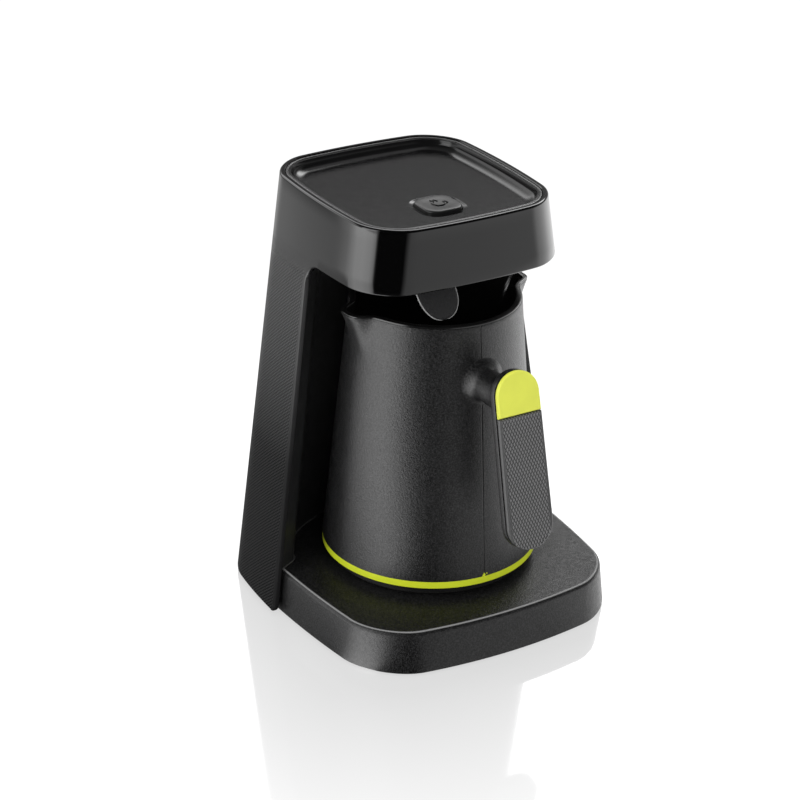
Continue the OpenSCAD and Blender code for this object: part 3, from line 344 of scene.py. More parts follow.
def rear_part(s, inset, y_join):
    """The right half of an outline, from a y on its side to the back's middle."""
    w, rb = s["w"] - inset, s["rb"] - inset
    back = s["back"] - inset
    plain = np.vstack([
        line((w, unbowed_y(y_join, s)), (w, back - rb), SIDE_STEPS)[:-1],
        arc(w - rb, back - rb, rb, 0, 90, ARC_STEPS)[:-1],
        line((w - rb, back), (0, back), FRONT_STEPS)])
    return bowed(plain, w, s)


def half_outline(s, inset, y_join=12.0):
    """The right half of an outline, from the front's middle to the back's."""
    return np.vstack([front_part(s, inset, y_join)[:-1], rear_part(s, inset, y_join)])


# ---------------------------------------------------------------- material helpers


def feed(tree, socket, value):
    """A number or a colour is set on a socket, an output is linked to it."""
    if isinstance(value, bpy.types.NodeSocket):
        tree.links.new(value, socket)
    else:
        socket.default_value = value


def material(name):
    m = bpy.data.materials.new(name)
    m.use_nodes = True
    return m, m.node_tree, m.node_tree.nodes["Principled BSDF"]


def node(tree, kind, **values):
    """A new node; the values are its settings, or what its inputs are fed with."""
    n = tree.nodes.new(kind)
    for key, value in values.items():
        if key in n.bl_rna.properties and key not in n.inputs:
            setattr(n, key, value)
        else:
            feed(tree, n.inputs[key], value)
    return n


def coords(tree, kind="Object"):
    return node(tree, "ShaderNodeTexCoord").outputs[kind]


def xyz(tree, vector):
    return node(tree, "ShaderNodeSeparateXYZ", Vector=vector).outputs


def noise(tree, size_mm, detail=2.0, rough=0.5):
    n = node(tree, "ShaderNodeTexNoise", Vector=coords(tree), Scale=1 / MM / size_mm, Detail=detail,
             Roughness=rough)
    return n.outputs["Fac"]


def spread(tree, value, low, high, from_low=0.3, from_high=0.7):
    """From low to high as a value goes from from_low to from_high, and level beyond them."""
    m = node(tree, "ShaderNodeMapRange", Value=value)
    for name, end in (("To Min", low), ("To Max", high), ("From Min", from_low), ("From Max", from_high)):
        feed(tree, m.inputs[name], end)
    return m.outputs["Result"]


def blend(tree, t, a, b):
    """From a to b as t goes from 0 to 1."""
    return spread(tree, t, a, b, 0, 1)


def along(tree, length, start, stop, a=0.0, b=1.0):
    """From a to b as a length goes from start to stop, which are in millimetres."""
    return spread(tree, length, a, b, start * MM, stop * MM)


def two_colors(tree, fac, a, b):
    """From colour a to colour b as fac goes from 0 to 1; either may be an output."""
    m = node(tree, "ShaderNodeMix", data_type="RGBA")
    feed(tree, m.inputs[0], fac)
    for socket, color in ((m.inputs[6], a), (m.inputs[7], b)):
        feed(tree, socket, (*color, 1) if isinstance(color, tuple) else color)
    return m.outputs[2]


def math_node(tree, operation, *values):
    m = node(tree, "ShaderNodeMath", operation=operation)
    for socket, value in zip(m.inputs, values):
        feed(tree, socket, value)
    return m.outputs[0]


def times(tree, a, b):
    return math_node(tree, "MULTIPLY", a, b)


def vector_node(tree, operation, *values):
    m = node(tree, "ShaderNodeVectorMath", operation=operation)
    for socket, value in zip(m.inputs, values):
        feed(tree, socket, value)
    return m.outputs["Value" if operation == "LENGTH" else "Vector"]


def diamonds(tree, across, down):
    """0 along two crossing sets of slanting lines, up to 1 between them, by two counts of half waves."""
    slants = [math_node(tree, sign, across, down) for sign in ("ADD", "SUBTRACT")]
    waves = [math_node(tree, "ABSOLUTE", math_node(tree, "SINE", slant)) for slant in slants]
    return math_node(tree, "MINIMUM", *waves)


def surface(tree, shader, color, rough, relief, relief_mm):
    """A material's colour, roughness and relief."""
    feed(tree, shader.inputs["Base Color"], color)
    feed(tree, shader.inputs["Roughness"], rough)
    raised = node(tree, "ShaderNodeBump", Height=relief, Strength=1.0, Distance=relief_mm * MM)
    feed(tree, shader.inputs["Normal"], raised.outputs["Normal"])


# ---------------------------------------------------------------- materials


def plain(name, color, rough, grain_mm=0.5, grain_h=0.01, metallic=0.0, spec=0.5, vary=0.12):
    """A moulded or metal surface with a little grain, colour variation and uneven gloss."""
    m, tree, shader = material(name)
    dark = tuple(c * (1 - vary) for c in color)
    light = tuple(min(1, c * (1 + vary)) for c in color)
    cloud = spread(tree, noise(tree, 9.0, 3.0), 0, 1)
    gloss = spread(tree, noise(tree, 4.0, 3.0), rough * 0.92, rough * 1.08)
    shader.inputs["Metallic"].default_value = metallic
    shader.inputs["Specular IOR Level"].default_value = spec
    surface(tree, shader, two_colors(tree, cloud, dark, light), gloss, noise(tree, grain_mm), grain_h)
    return m


def shell_material():
    """Gloss black that turns into a matt diamond mesh below the head."""
    cell_y, cell_z, relief = 2.3, 2.0, 0.35
    head_color, mesh_color = (0.0005, 0.0005, 0.0006), (0.070, 0.070, 0.0713)
    m, tree, shader = material("shell_gloss_and_mesh")
    x, y, z = xyz(tree, coords(tree))
    below = along(tree, z, band_z + 2, band_z - 14)
    round_y = math_node(tree, "SUBTRACT", y, math_node(tree, "ABSOLUTE", x))
    cell = diamonds(tree, times(tree, round_y, math.pi / (cell_y * MM)),
                    times(tree, z, math.pi / (cell_z * MM)))
    cell = spread(tree, cell, 0, 1, 0.35, 0.65)
    # the mesh stops short of the column's front edge
    behind = math_node(tree, "SUBTRACT", y, times(tree, z, column_edge_lean))
    inside = along(tree, behind, column_edge_foot + 1.6, column_edge_foot + 2.6)
    mesh = times(tree, blend(tree, inside, 0.35, cell), below)
    # painted shade: the mesh's colour is made darker towards the foot, and it reflects less there
    mesh_and_painted_shade = times(tree, mesh, along(tree, z, 130, 70, 1, 0.52))
    feed(tree, shader.inputs["Specular IOR Level"], along(tree, z, 178, 80, 0.5, 0.04))
    uneven = spread(tree, noise(tree, 6.0, 3.0), -0.008, 0.008)
    rough = math_node(tree, "ADD", blend(tree, below, 0.07, 0.42), uneven)
    surface(tree, shader, two_colors(tree, mesh_and_painted_shade, head_color, mesh_color), rough, mesh, relief)
    return m


def pot_material():
    """Matt graphite with a coarse metallic grain."""
    m, tree, shader = material("pot_graphite")
    fleck = spread(tree, noise(tree, 0.75, 2.0, 0.6), 0, 1, 0.4, 0.72)
    shade = two_colors(tree, fleck, (0.0005, 0.0005, 0.0006), (0.024, 0.024, 0.0248))
    rough = spread(tree, noise(tree, 0.8), 0.32, 0.48)
    surface(tree, shader, shade, rough, noise(tree, 0.85, 3.0, 0.55), 0.17)
    return m


def base_material():
    """Matt black with a fine grain, and a painted highlight: a pale line on the deck's rounded edge."""
    m, tree, shader = material("base_matt_black")
    fleck = spread(tree, noise(tree, 0.8, 2.0, 0.6), 0, 1, 0.4, 0.7)
    shade = two_colors(tree, fleck, (0.002, 0.002, 0.0021), (0.022, 0.022, 0.0227))
    # painted highlight: pale where the normal tilts a little from straight up, on the deck's rounded edge
    upward = xyz(tree, coords(tree, "Normal"))[2]
    edge = times(tree, spread(tree, upward, 0, 1, 0.80, 0.90), spread(tree, upward, 1, 0, 0.95, 0.995))
    edge = times(tree, edge, along(tree, xyz(tree, coords(tree))[2], deck_z - 3, deck_z - 2))
    shade = two_colors(tree, edge, shade, (0.26, 0.26, 0.26))
    rough = spread(tree, noise(tree, 2.0), 0.40, 0.50)
    surface(tree, shader, shade, rough, noise(tree, 0.8, 3.0, 0.55), 0.1)
    return m


def grip_material():
    """Soft grip: painted light and shade, pale on the pads and dark in the knurled grooves, which follow
    the plate's own knurl.
    """
    m, tree, shader = material("grip_knurl")
    x, _, z = xyz(tree, coords(tree))
    down = math_node(tree, "SUBTRACT", strap_top_z * MM, z)
    down = times(tree, down, math.pi / (knurl_y * MM * math.cos(strap_lean)))
    # painted light and shade of the knurl: 1 on the pads, painted pale, 0 in the grooves, painted dark
    painted_facet_light = diamonds(tree, times(tree, x, math.pi / (knurl_x * MM)), down)
    painted_facet_light = spread(tree, painted_facet_light, 0, 1, 0.2, 0.6)
    rim = along(tree, math_node(tree, "ABSOLUTE", x), strap_r_top - 1.6, strap_r_top - 1.0)
    shade = two_colors(tree, blend(tree, rim, painted_facet_light, 0.35), (0.016, 0.016, 0.0162), (0.160, 0.160, 0.162))
    rough = spread(tree, noise(tree, 2.0, 3.0), 0.46, 0.54)
    surface(tree, shader, shade, rough, noise(tree, 0.3), 0.01)
    return m


MAT = {
    "shell": shell_material(),
    "pot": pot_material(),
    "base": base_material(),
    "panel": plain("panel_matt", (0.017, 0.017, 0.0173), 0.42, 0.5, 0.02, spec=0.4),
    "ceiling": plain("ceiling_satin", (0.012, 0.012, 0.012), 0.4, 0.6, 0.01),
    "trim": plain("trim_satin", (0.03, 0.03, 0.03), 0.25, 0.6, 0.004),
    "tray": plain("tray_satin", (0.005, 0.005, 0.0052), 0.15, 0.35, 0.008, spec=0.3),
    "button": plain("button_satin", (0.009, 0.009, 0.009), 0.3, 0.4, 0.006),
    "mark": plain("button_mark", (0.003, 0.003, 0.003), 0.6, 0.4, 0.004),
    "deck_bead": plain("deck_bead", (0.05, 0.05, 0.05), 0.28, 0.5, 0.004),
    "vessel": plain("vessel_coat", (0.005, 0.005, 0.005), 0.16, 1.5, 0.01),
    "lime_ring": plain("ring_lime", (0.70, 0.80, 0.030), 0.38, 0.6, 0.008, vary=0.03),
    "lime_cap": plain("cap_lime", (0.715, 0.755, 0.086), 0.5, 0.5, 0.01, vary=0.03),
    "core": plain("core_black", (0.004, 0.004, 0.004), 0.25, 0.6, 0.004),
    "grip": grip_material(),
    "flap": plain("flap_smoke", (0.05, 0.05, 0.051), 0.28, 0.8, 0.002, vary=0.04),
    "flap_edge": plain("flap_edge", (0.7, 0.7, 0.7), 0.25, 0.8, 0.004),
    "cover": plain("cover_black", (0.010, 0.010, 0.010), 0.5, 0.5, 0.02),
}


# ---------------------------------------------------------------- outer shell


def shell_edge(z):
    return column_edge_foot + column_edge_lean * z


def make_shell():
    """The column's sides and back with the head's band on top, and rounded edges round the opening."""
    edge_r, top_r, lip = 0.8, 1.0, 0.4
    arch_z = band_z - arch_r
    arch_y = shell_edge(arch_z) - arch_r
    # rows of the column: height, y of the edge, and the way the opening lies (y, z)
    foot, bend = shell_foot_z + edge_r, shell_foot_r - edge_r
    rows = []
    for a in np.radians(np.linspace(90, 0, 7)):
        z = foot + bend * (1 - math.sin(a))
        y = shell_edge(z) + edge_r + bend * (1 - math.cos(a))
        rows.append((z, y, (-math.cos(a), -math.sin(a))))
    for z in np.linspace(foot + bend, arch_z, 16)[1:-1]:
        rows.append((z, shell_edge(z) + edge_r, (-1.0, 0.0)))
    for a in np.radians(np.linspace(0, 90, 15)):
        r = arch_r + edge_r
        rows.append((arch_z + r * math.sin(a), arch_y + r * math.cos(a), (-math.cos(a), -math.sin(a))))
    # levels of the band: inset and height
    straight = [(0.0, z) for z in np.linspace(band_z + edge_r, machine_h - top_r, 6)[:-1]]
    band = straight + rounding(0, machine_h, top_r, top_r, 0, 90, 7)
    inner_band = straight + [(0.0, machine_h - lip), (-lip, machine_h)]

    def column(inset):
        return np.array([at_z(rear_part(shell_section(z), inset, y), z) for z, y, _ in rows])

    def head(inset, levels):
        return np.array([at_z(half_outline(shell_section(z), inset + more, arch_y), z)
                         for more, z in levels])

    def rim(outer, inner, way):
        """The rounded edge from an outer to an inner point, which faces the given way."""
        turns = np.radians(np.linspace(0, 90, 5))
        inward = (inner - outer) * edge_r / np.linalg.norm(inner - outer)
        start = [outer + inward * (1 - math.cos(a)) + way * edge_r * math.sin(a) for a in turns]
        stop = [inner - inward * (1 - math.cos(a)) + way * edge_r * math.sin(a) for a in turns]
        return start + stop[::-1]

    skin = Skin()
    outer_col, inner_col = column(0), column(shell_wall)
    outer_head, inner_head = head(0, band), head(shell_wall, inner_band)
    for g in (outer_col, inner_col, outer_head, inner_head):
        skin.grid(g, mirror=True)
    skin.grid([outer_head[-1], inner_head[-1]], mirror=True)
    skin.grid([outer_col[0], inner_col[0]], mirror=True)
    side = [rim(outer_col[k, 0], inner_col[k, 0], np.array([0.0, *row[2]])) for k, row in enumerate(rows)]
    skin.grid(side, mirror=True)
    skin.face(side[0], mirror=True)
    joined = FRONT_STEPS + ARC_STEPS + JOIN_STEPS
    down = np.array([0.0, 0.0, -1.0])
    skin.grid([rim(outer_head[0, j], inner_head[0, j], down) for j in range(joined + 1)], mirror=True)
    return skin.make("shell", MAT["shell"], "stand", "gloss_black", ["outer_shell"])


# ---------------------------------------------------------------- base


def base_ring(inset, z):
    """The base's outline: its own at the front, and inside the shell at the back."""
    tuck_y, ease_len, side_x = column_edge_foot + 12, 26, 40
    own = front_part(base_section(z), inset, tuck_y)
    rear = rear_part(shell_section(z), shell_wall + fit_gap + inset, tuck_y)
    ease = 1 - smooth((rear[:, 1] - tuck_y) / ease_len)
    eased = np.minimum(rear[:, 0], mix(rear[:, 0], own[-1, 0], ease))
    rear[:, 0] = np.where(rear[:, 0] > side_x, eased, rear[:, 0])
    return at_z(both_sides(np.vstack([own, rear[1:]])), z)


def make_base():
    foot_edge = 0.5
    ceiling = deck_z - base_wall
    levels = [(foot_edge, foot_drop), (0.0, foot_drop + foot_edge), (0.0, deck_z / 2)]
    levels += rounding(0, deck_z, deck_edge_r, deck_edge_r, 0, 90, 9)
    levels += [(deck_edge_r + step, deck_z) for step in (0.4, 1.0)]
    skin = Skin().tube([base_ring(i, z) for i, z in levels], caps=[-1])
    skin.tube([base_ring(base_wall, z) for z in (foot_drop, ceiling)], caps=[-1])
    skin.tube([base_ring(i, foot_drop) for i in (foot_edge, base_wall)])
    return skin.make("base", MAT["base"], "stand", "base_black", ["base_housing"])


# ---------------------------------------------------------------- column panel


def jacket_r(z):
    return mix(pot_r_foot, pot_r_rim, (z - ring_top) / (rim_z - ring_top))


BEND_STEPS = 12
SWEEP_STEPS = 34


def panel_half(z, wall=0.0):
    """One half of the panel's front, or of its back at the wall's thickness, inwards."""
    t = (z - deck_z) / (ceiling_z - deck_z)
    w = jacket_r(z) + mix(recess_gap_foot, recess_gap_top, t)
    strip_y = shell_edge(z) + panel_setback
    s = shell_section(z)
    v = (strip_y - s["yc"]) / s["half"]
    strip_x = s["w"] - shell_wall - s["bow"] * v * v - 0.05
    y = strip_y + strip_depth
    d = jacket_r(z) + recess_gap_back + wall - y
    slope = strip_depth / (strip_x - w)
    behind = wall * math.sqrt(1 + slope * slope)
    side, corner = np.array([strip_x, strip_y + behind]), np.array([w + wall, y + behind - wall * slope])
    start, stop = mix(corner, side, strip_bend), np.array([w + wall, y + recess_bend * d])
    bend = [mix(mix(start, corner, t), mix(corner, stop, t), t) for t in np.linspace(0, 1, BEND_STEPS + 1)]
    turns = np.radians(np.linspace(math.degrees(math.asin(recess_bend)), 90, SWEEP_STEPS)[1:])
    return np.array([side, *bend, *[((w + wall) * math.cos(t), y + d * math.sin(t)) for t in turns]])


def make_panel():
    skin = Skin()
    walls = []
    for wall in (0.0, panel_wall):
        rows = []
        for z in np.linspace(deck_z, ceiling_z, 7):
            half = panel_half(z, wall)
            rows.append(at_z(np.vstack([half * MIRROR[:2], half[::-1][1:]]), z))
        walls.append(np.array(rows))
        skin.grid(walls[-1])
    front, back = walls
    for end in (0, -1):
        skin.grid([front[end], back[end]])
        skin.grid([front[:, end], back[:, end]])
    return skin.make("column_panel", MAT["panel"], "stand", "panel_mesh", ["column_front_panel"], sharp=40)


def make_deck_beads():
    """The thin beads that seal the strips and the recess's sides to the deck."""
    floor_glow_painted_shade, r = 34, 0.42  # the outline's points that the pot doesn't hide, the bead's radius
    for side, name in ((-1, "left"), (1, "right")):
        points = [(side * (x - 0.25), y - 0.35, deck_z + 0.15) for x, y in panel_half(deck_z)[:floor_glow_painted_shade]]
        bead("deck_bead_" + name, points, r, MAT["deck_bead"], "stand", "panel_mesh")


# ---------------------------------------------------------------- head: trim, tray, button


def rounded_square(w, r, z):
    c = w / 2 - r
    corners = ((1, -1, -90), (1, 1, 0), (-1, 1, 90), (-1, -1, 180))
    return at_z(np.vstack([arc(x * c, y * c, r, turn, turn + 90, 10) for x, y, turn in corners]), z)


def head_loops(profile, s=None):
    """Outlines of the head at pairs of inset and height, all of one section where it's given."""
    return [at_z(both_sides(half_outline(s or shell_section(z), i)), z) for i, z in profile]


def make_trim():
    inset = shell_wall + fit_gap
    top, tall, r = machine_h - 0.3, 4, 0.4
    profile = [(inset, top - tall), *rounding(inset, top, r, r, 0, 90, 5)]
    profile += [*rounding(inset + trim_w, top, -r, r, 90, 0, 5), (inset + trim_w, top - tall)]
    skin = Skin().tube(head_loops(profile + profile[:1]))
    return skin.make("head_trim", MAT["trim"], "stand", "trim_satin", ["tray_trim"])


def make_tray():
    """The tray: a lip inside the trim, a wall that bends into the floor, a dish round the button."""
    inset = shell_wall + fit_gap + trim_w + fit_gap / 2
    lip_w, lip_z, r = 1.2, machine_h - 0.6, 0.45
    bend_w, bend_h = 6.0, 3.2
    under = tray_floor - tray_t
    profile = [(inset, under), (inset, lip_z - r), *rounding(inset, lip_z, r, r, 0, 90, 5)]
    profile += rounding(inset + lip_w, lip_z, r, r, 90, 40, 4)
    profile += rounding(profile[-1][0] + 0.7, tray_floor, bend_w, -bend_h, 0, 90, 14)
    profile += [(profile[-1][0] + step, tray_floor) for step in (0.3, 0.8)]
    loops = head_loops(profile, shell_section(tray_floor))
    hole_w, hole_r = button_w + 2 * button_gap, button_corner_r + button_gap

    def hole(more, z):
        return rounded_square(hole_w + 2 * more, hole_r + more, z)

    dish = [hole(dish_w + step, tray_floor) for step in (0.8, 0.3)]
    for t in np.linspace(1, 0, 9):
        drop = dish_depth * math.sin(math.radians(90 * (1 - t))) ** 0.8
        dish.append(hole(dish_w * t, tray_floor - drop))
    skin = Skin().tube(loops).between(loops[-1], dish[0]).tube(dish).between(loops[0], hole(0, under))
    skin.tube([hole(0, under), hole(0, tray_floor - dish_depth)])
    return skin.make("head_tray", MAT["tray"], "stand", "tray_satin", ["top_tray"])


def make_button():
    top, r = tray_floor + button_proud, 0.9
    profile = [(0.0, tray_floor - 3), *rounding(0, top, r, r, 0, 90, 7)]
    profile += [(2.2, top + 0.02), (4.0, top - 0.05), (6.0, top - 0.14)]  # its face is a shallow dish
    loops = [rounded_square(button_w - 2 * i, max(0.6, button_corner_r - i * 0.6), z) for i, z in profile]
    skin = Skin().tube(loops, caps=(0, -1))
    return skin.make("button_cap", MAT["button"], "button", "button_satin", ["start_button"])


def make_mark():
    """A small cup with steam on the button, as thin raised strokes."""
    cup_right = [(1.2, -3.0), (2.4, -2.2), (3.1, -0.6), (3.2, 1.2)]
    strokes = [[(-x, y) for x, y in cup_right[::-1]] + cup_right]
    strokes.append([(3.2 + 1.7 * math.sin(a), -0.3 + 1.2 * math.cos(a))
                    for a in np.linspace(0.15, math.pi - 0.3, 9)])
    for x in (-1.4, 0.6):
        strokes.append([(x + 0.5 * math.sin(t * 5.2), 2.2 + 2.6 * t) for t in np.linspace(0, 1, 10)])
    for i, stroke in enumerate(strokes):
        points = at_z(stroke, tray_floor + button_proud)
        bead("button_mark_%d" % (i + 1), points, 0.3, MAT["mark"], "button", "button_satin")


# ---------------------------------------------------------------- pot


def spout_r(theta, z):
    """Radius of the pot's outside; theta in degrees from +X, spouts at 0 and 180."""
    off = np.abs((theta + 90) % 180 - 90)
    swell = 1 / (1 + (off / spout_angle) ** 4)
    fade = np.clip((z - rim_z + spout_h) / spout_h, 0, None) ** 1.6
    return jacket_r(z) + spout_reach * swell * fade


SEAM_X, SEAM_R = -1.3, 50  # a point that the jacket's parting line goes through
SEAM = -90 + math.degrees(math.asin(SEAM_X / SEAM_R))
SEAM_HALF = 0.42
SEAM_DEPTH = 0.2
SEAM_SIDE = SEAM_HALF * np.array([0, 0.5, 1.0, 1.6])
POT_ANGLES = np.concatenate([
    SEAM + SEAM_SIDE, np.linspace(-90, -30, 40)[1:-1],
    *[np.linspace(start, stop, 60, endpoint=False) for start, stop in ((-30, 30), (30, 150), (150, 210))],
    np.linspace(210, 267, 38), 360 + SEAM - SEAM_SIDE[::-1]])


def pot_ring(inset, z, seam=0.0):
    """The pot's outline from the parting line round to it again."""
    off = np.abs((POT_ANGLES - SEAM + 180) % 360 - 180) / SEAM_HALF
    r = spout_r(POT_ANGLES, z) - inset - seam * np.clip(1 - off, 0, 1)
    a = np.radians(POT_ANGLES)
    return at_z(np.column_stack([r * np.cos(a), r * np.sin(a)]), z)


def pot_levels(low, high):
    """Heights of the pot's rings, closer together where the spouts swell."""
    return [*np.linspace(low, rim_z - spout_h, 6)[:-1], *np.linspace(rim_z - spout_h, high, 16)]


def make_pot():
    jacket_rim = rim_z - lip_h
    r = 0.35
    levels = pot_levels(ring_top, jacket_rim - r)
    outside = [(0, z) for z in levels] + rounding(0, jacket_rim, r, r, 45, 90, 2)
    rows = [pot_ring(i, z, SEAM_DEPTH) for i, z in outside]
    rows += [pot_ring(jacket_wall, z) for z in (jacket_rim, *levels[::-1])]
    rows.append(rows[0])
    Skin().grid(rows).make("pot_jacket", MAT["pot"], "pot", "pot_graphite", ["pot_shell"])


def make_ring_key():
    """The ring's key, a small tooth that stands in the foot of the parting line."""
    middle, half_w, tall, deep = -1.5, 1.3, 1.7, 1.4
    front = -(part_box("pot_ring")[1][0] / MM - 0.05)
    right = [(half_w, -0.3), (half_w * 0.45, tall * 0.6), (0.25, tall)]
    shape = [(-x, z) for x, z in right] + right[::-1]
    ends = [[(middle + x, y, ring_top + z) for x, z in shape] for y in (front, front + deep)]
    Skin().tube(ends, caps=(0, 1)).make("ring_key", MAT["lime_ring"], "pot", "lime_ring")


def make_vessel():
    """The vessel: outside, rounded lip, inside and a floor with a wide bend."""
    outer, r, foot_r = jacket_wall + fit_gap / 2, lip_h / 2, 8
    inner, floor_z = outer + vessel_wall, vessel_z + vessel_wall
    levels = pot_levels(vessel_z + 9, rim_z - lip_h)
    profile = [(outer, z) for z in (vessel_z, *levels)] + [(0.3, rim_z - lip_h)]
    profile += rounding(0.3, rim_z, r, r, 0, 90, 6) + rounding(inner, rim_z, -r, r, 90, 0, 6)
    profile += [(inner, z) for z in levels[::-1]] + rounding(inner, floor_z, foot_r, -foot_r, 0, 90, 9)
    rows = [pot_ring(i, z) for i, z in profile]
    skin = Skin().grid(rows).face(rows[-1][:-1]).face(rows[0][:-1])
    return skin.make("vessel", MAT["vessel"], "pot", "vessel_black", ["pot_vessel"])


# ---------------------------------------------------------------- handle


def strap_plane(z):
    """y of the strap's face at a height."""
    return -(strap_reach + (strap_top_z - z) * math.tan(strap_lean))


def make_horn():
    """The arm: it flares out of the jacket and flares again into the strap's back."""
    root_r, root_len, tip_len = 12.6, 5.5, 9.5
    tip_side, tip_up, tip_down = 10.2, 12.0, 17.5
    root_sunk, tip_sunk = 0.15, 0.1
    turns = np.radians(np.linspace(0, 360, 73))
    ca, sa = np.cos(turns), np.sin(turns)
    thick = (strap_back_t + core_t + grip_t) / math.cos(strap_lean)
    start_y = jacket_r(arm_z)
    end_y = -strap_plane(arm_z) - thick
    reach = 1 / np.sqrt((ca / tip_side) ** 2 + (sa / np.where(sa < 0, tip_down, tip_up)) ** 2)
    flare = np.radians(np.linspace(0, 90, 16))
    rows = []
    for a in flare:
        rho = root_r - (root_r - arm_r) * math.sin(a)
        x, z = rho * ca, arm_z + rho * sa
        jacket = np.sqrt(np.maximum(jacket_r(z) ** 2 - x ** 2, 1))
        out = root_len * (1 - math.cos(a)) - root_sunk * (1 - math.sin(a))
        rows.append(np.column_stack([x, -(mix(jacket, start_y, smooth(math.sin(a))) + out), z]))
    for a in flare:
        rho = mix(arm_r, reach, 1 - math.cos(a))
        x, z = rho * ca, arm_z + rho * sa
        plane = -strap_plane(z) - thick
        out = tip_sunk - tip_len * (1 - math.sin(a))
        rows.append(np.column_stack([x, -(mix(end_y, plane, smooth(math.sin(a))) + out), z]))
    skin = Skin().grid(rows)
    for end, step in ((rows[0], 1.0), (rows[-1], -1.0)):
        sunk = end + np.array([0, step, 0])
        skin.grid([sunk, end])
        skin.face(sunk[:-1])
    return skin.make("handle_arm", MAT["pot"], "pot", "pot_graphite", ["handle_frame"], sharp=50)


def strap_ends(inset):
    """Radii of the strap's two ends, their centres down its length and the slant of its sides."""
    r1, r2 = strap_r_top - inset, strap_r_bottom - inset
    y1, y2 = strap_r_top, strap_len - strap_r_bottom
    return r1, r2, y1, y2, math.asin((r2 - r1) / (y2 - y1))


def strap_outline(inset, n=28):
    """Local outline of the strap, x across and y down its length."""
    r1, r2, y1, y2, slant = strap_ends(inset)
    s = math.degrees(slant)
    return np.vstack([arc(0, y1, r1, -180 + s, -s, n), arc(0, y2, r2, -s, 180 + s, n)])


def strap_half_w(y, inset):
    """Half width of the strap at a distance down its length."""
    r1, r2, y1, y2, slant = strap_ends(inset)
    start, stop = y1 - r1 * math.sin(slant), y2 - r2 * math.sin(slant)
    if y < start:
        return math.sqrt(max(r1 * r1 - (y1 - y) ** 2, 0))
    if y > stop:
        return math.sqrt(max(r2 * r2 - (y - y2) ** 2, 0))
    return mix(r1, r2, (y - start) / (stop - start)) * math.cos(slant)


def strap_place(local):
    """Local x across, y down, z out of the face, to the machine's frame."""
    local = np.asarray(local, float)
    x, y, z = (local[..., k, None] for k in range(3))
    down = np.array([0, -math.sin(strap_lean), -math.cos(strap_lean)])
    out = np.array([0, -math.cos(strap_lean), math.sin(strap_lean)])
    return np.array([0, -strap_reach, strap_top_z]) + x * np.array([1, 0, 0]) + y * down + z * out


def strap_skin(profile):
    """The strap's outline at pairs of inset and local z, as one capped skin."""
    return Skin().tube([strap_place(at_z(strap_outline(i), z)) for i, z in profile], caps=(0, -1))


def make_strap():
    face = core_t + grip_t
    depth = strap_back_t + face
    back_r, front_r = 1.9, 0.45
    profile = rounding(0, -depth, back_r, -back_r, 90, 0, 8)
    profile += rounding(0, -face, front_r, front_r, 0, 90, 4)
    return strap_skin(profile).make("handle_strap", MAT["pot"], "pot", "pot_graphite")


def make_core():
    skin = strap_skin([(0.7, -core_t - grip_t), (0.7, -grip_t)])
    return skin.make("handle_core_plate", MAT["core"], "pot", "core_black", ["handle_core"])


def make_plate(name, mat, slot, node_name, start, stop, knurled):
    """The cap, round where it starts, or the knurled grip, round where it stops."""
    edge, plain_rim, fade = 0.7, 0.8, 0.4  # the rounded edge, and where the knurl starts and deepens
    rows, columns = (200, 126) if knurled else (60, 40)
    t = np.linspace(0, 1, rows)
    r1, r2, y1, y2, _ = strap_ends(plate_inset)
    if knurled:
        ys = mix(start, stop, 0.8 * t + 0.2 * np.sin(t * math.pi / 2))
    else:
        ys = mix(start, stop, 0.4 * t + 0.6 * (1 - np.cos(t * math.pi / 2)))
    top, bottom = [], []
    for y in ys:
        half = max(strap_half_w(np.clip(y, start + 1e-3, stop - 1e-3), plate_inset), 0.05)
        x = np.linspace(-1, 1, columns) * half
        # distance from the plate's edge: its sides, its round end and its flat end
        near = half - np.abs(x)
        if knurled and y > y2:
            near = np.minimum(near, np.maximum(r2 - np.hypot(x, y - y2), 0))
        elif not knurled and y < y1:
            near = np.minimum(near, np.maximum(r1 - np.hypot(x, y - y1), 0))
        near = np.minimum(near, y - start if knurled else stop - y)
        z = -edge * (1 - np.sqrt(1 - (1 - np.clip(near / edge, 0, 1)) ** 2))
        if knurled:
            waves = [np.abs(np.sin(math.pi * (x / knurl_x + way * y / knurl_y))) for way in (1, -1)]
            z -= knurl_depth * (1 - np.minimum(*waves)) * np.clip((near - plain_rim) / fade, 0, 1)
        top.append(np.column_stack([x, np.full(columns, y), z]))
        bottom.append(np.column_stack([x, np.full(columns, y), np.full(columns, -grip_t)]))
    loops = [strap_place(grid_edge(np.array(g))) for g in (top, bottom)]
    skin = Skin().grid(strap_place(top)).tube(loops, caps=[1])
    return skin.make(name, mat, "pot", slot, [node_name], sharp=38)


# ---------------------------------------------------------------- flap


def flap_path(n=40):
    """Side view of the flap's middle line from the tip up to the hub: y, z."""
    tip, bend = np.array([-flap_tip_front, flap_low]), np.array([-5.5, flap_low + 7.8])
    hub = np.array([pin_y, pin_z])
    return np.array([mix(mix(tip, bend, t), mix(bend, hub, t), t) for t in np.linspace(0, 1, n)])


